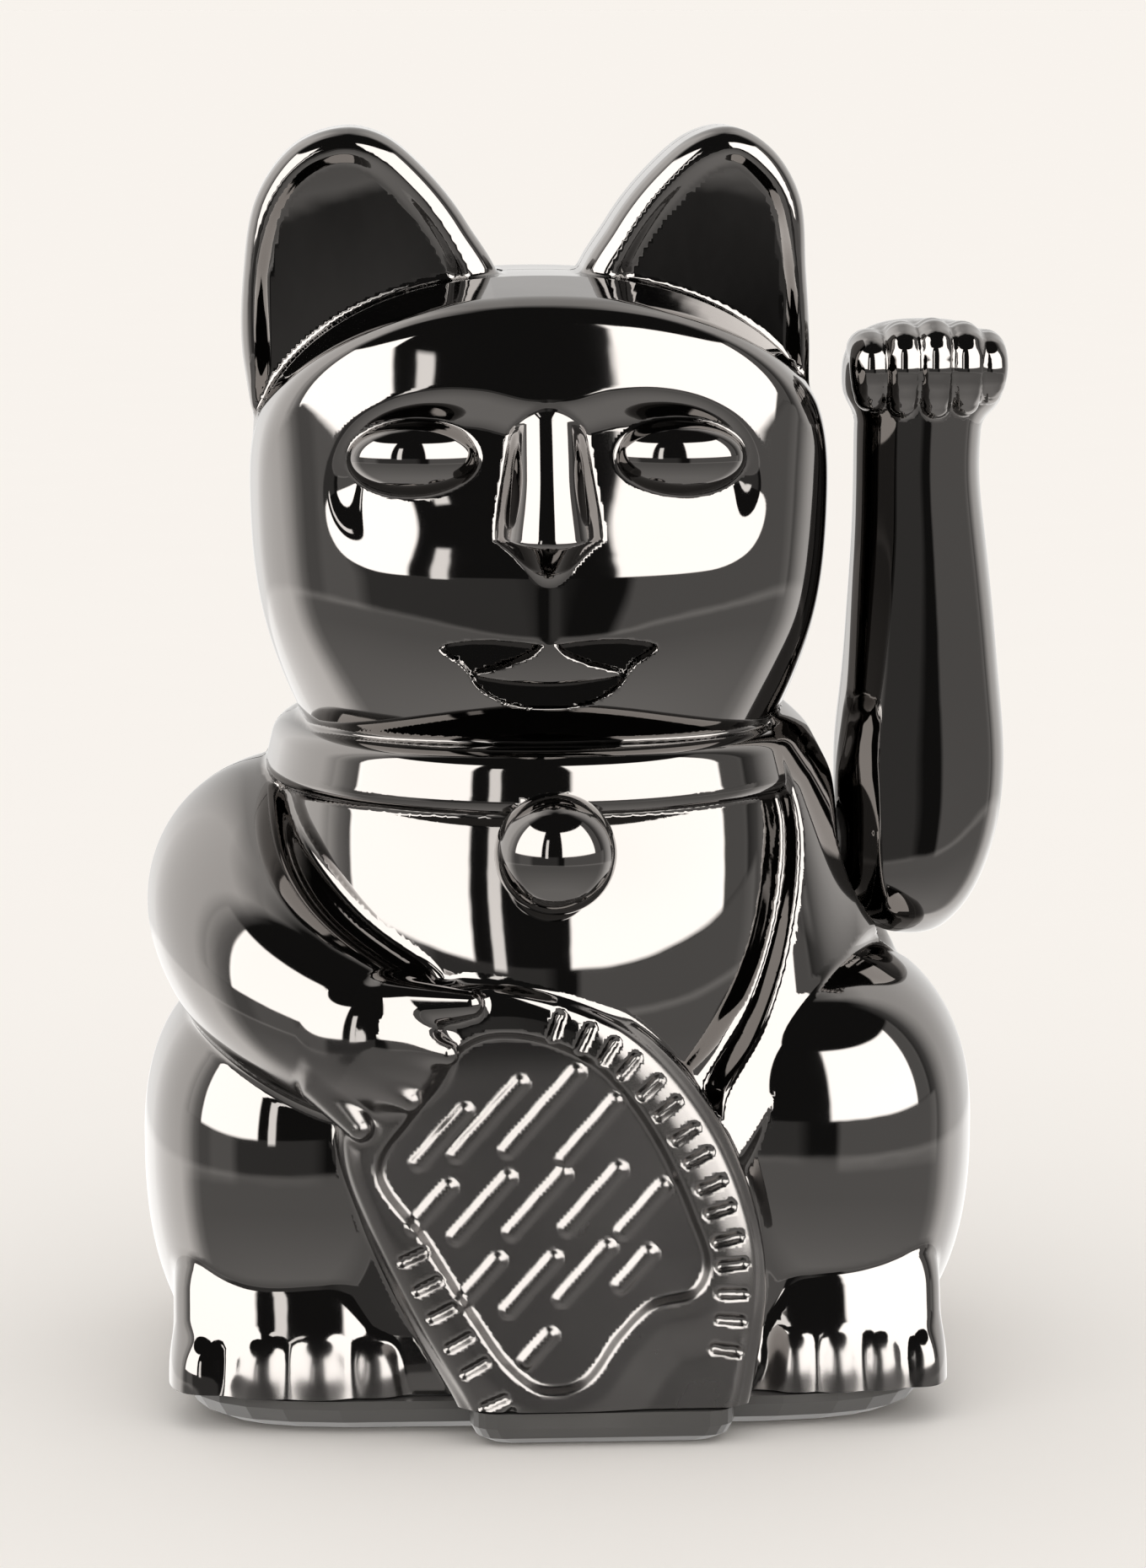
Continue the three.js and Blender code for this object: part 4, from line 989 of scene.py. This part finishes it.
def world():
    """Soft studio: an even light for the floor, and a room for the plating to mirror."""
    w = bpy.data.worlds.new("studio")
    bpy.context.scene.world = w
    w.use_nodes = True
    t = w.node_tree
    t.nodes.clear()
    N, L = t.nodes, t.links
    op = functools.partial(maths, t)

    def band(x, a, b, soft):
        """1 between a and b, falling to 0 over soft."""
        rise = op("DIVIDE", op("SUBTRACT", x, a - soft), soft, True)
        fall = op("DIVIDE", op("SUBTRACT", b + soft, x), soft, True)
        return op("MULTIPLY", rise, fall)

    sep = N.new("ShaderNodeSeparateXYZ")
    L.new(N.new("ShaderNodeTexCoord").outputs["Generated"], sep.inputs[0])
    x, y, z = sep.outputs
    az = op("MULTIPLY", op("ARCTAN2", x, op("MULTIPLY", y, -1.0)), 180 / math.pi)
    el = op("MULTIPLY", op("ARCSINE", z), 180 / math.pi)
    lights = []
    for across, up, brightness in ROOM:
        part = band(el, *up)
        if across:
            part = op("MULTIPLY", band(az, *across), part)
        lights.append(op("MULTIPLY", part, brightness))
    total = functools.reduce(functools.partial(op, "ADD"), [*lights, ROOM_TONE])
    col = N.new("ShaderNodeCombineColor")
    for i, k in enumerate(ROOM_TINT):
        L.new(op("MULTIPLY", total, k), col.inputs[i])
    mirror, even, seen = (N.new("ShaderNodeBackground") for _ in range(3))
    L.new(col.outputs[0], mirror.inputs["Color"])
    even.inputs["Color"].default_value = (1.0, 1.0, 1.0, 1)
    even.inputs["Strength"].default_value = EVEN_LIGHT
    seen.inputs["Color"].default_value = (*PAPER, 1)
    path = N.new("ShaderNodeLightPath")
    mix, top = N.new("ShaderNodeMixShader"), N.new("ShaderNodeMixShader")
    L.new(path.outputs["Is Glossy Ray"], mix.inputs[0])
    L.new(even.outputs[0], mix.inputs[1])
    L.new(mirror.outputs[0], mix.inputs[2])
    L.new(path.outputs["Is Camera Ray"], top.inputs[0])
    L.new(mix.outputs[0], top.inputs[1])
    L.new(seen.outputs[0], top.inputs[2])
    L.new(top.outputs[0], N.new("ShaderNodeOutputWorld").inputs["Surface"])


def camera():
    """Near view from a little above, slightly from the cat's right-hand side."""
    distance, height, across = 560.0, 165.0, 4.4
    turn, drop = math.radians(-3.0), math.radians(9.598)
    ahead = Vector((-math.sin(turn), math.cos(turn), 0))
    data = bpy.data.cameras.new("camera")
    data.sensor_fit, data.sensor_height = "VERTICAL", 36.0
    data.lens = 106.8
    cam = bpy.data.objects.new("camera", data)
    cam.location = (Vector((across, 0, height)) - ahead * distance) * MM
    cam.rotation_euler = (math.pi / 2 - drop, 0, turn)
    bpy.context.scene.collection.objects.link(cam)
    bpy.context.scene.camera = cam


stage()
world()
camera()
bpy.context.scene.view_settings.view_transform = "Standard"
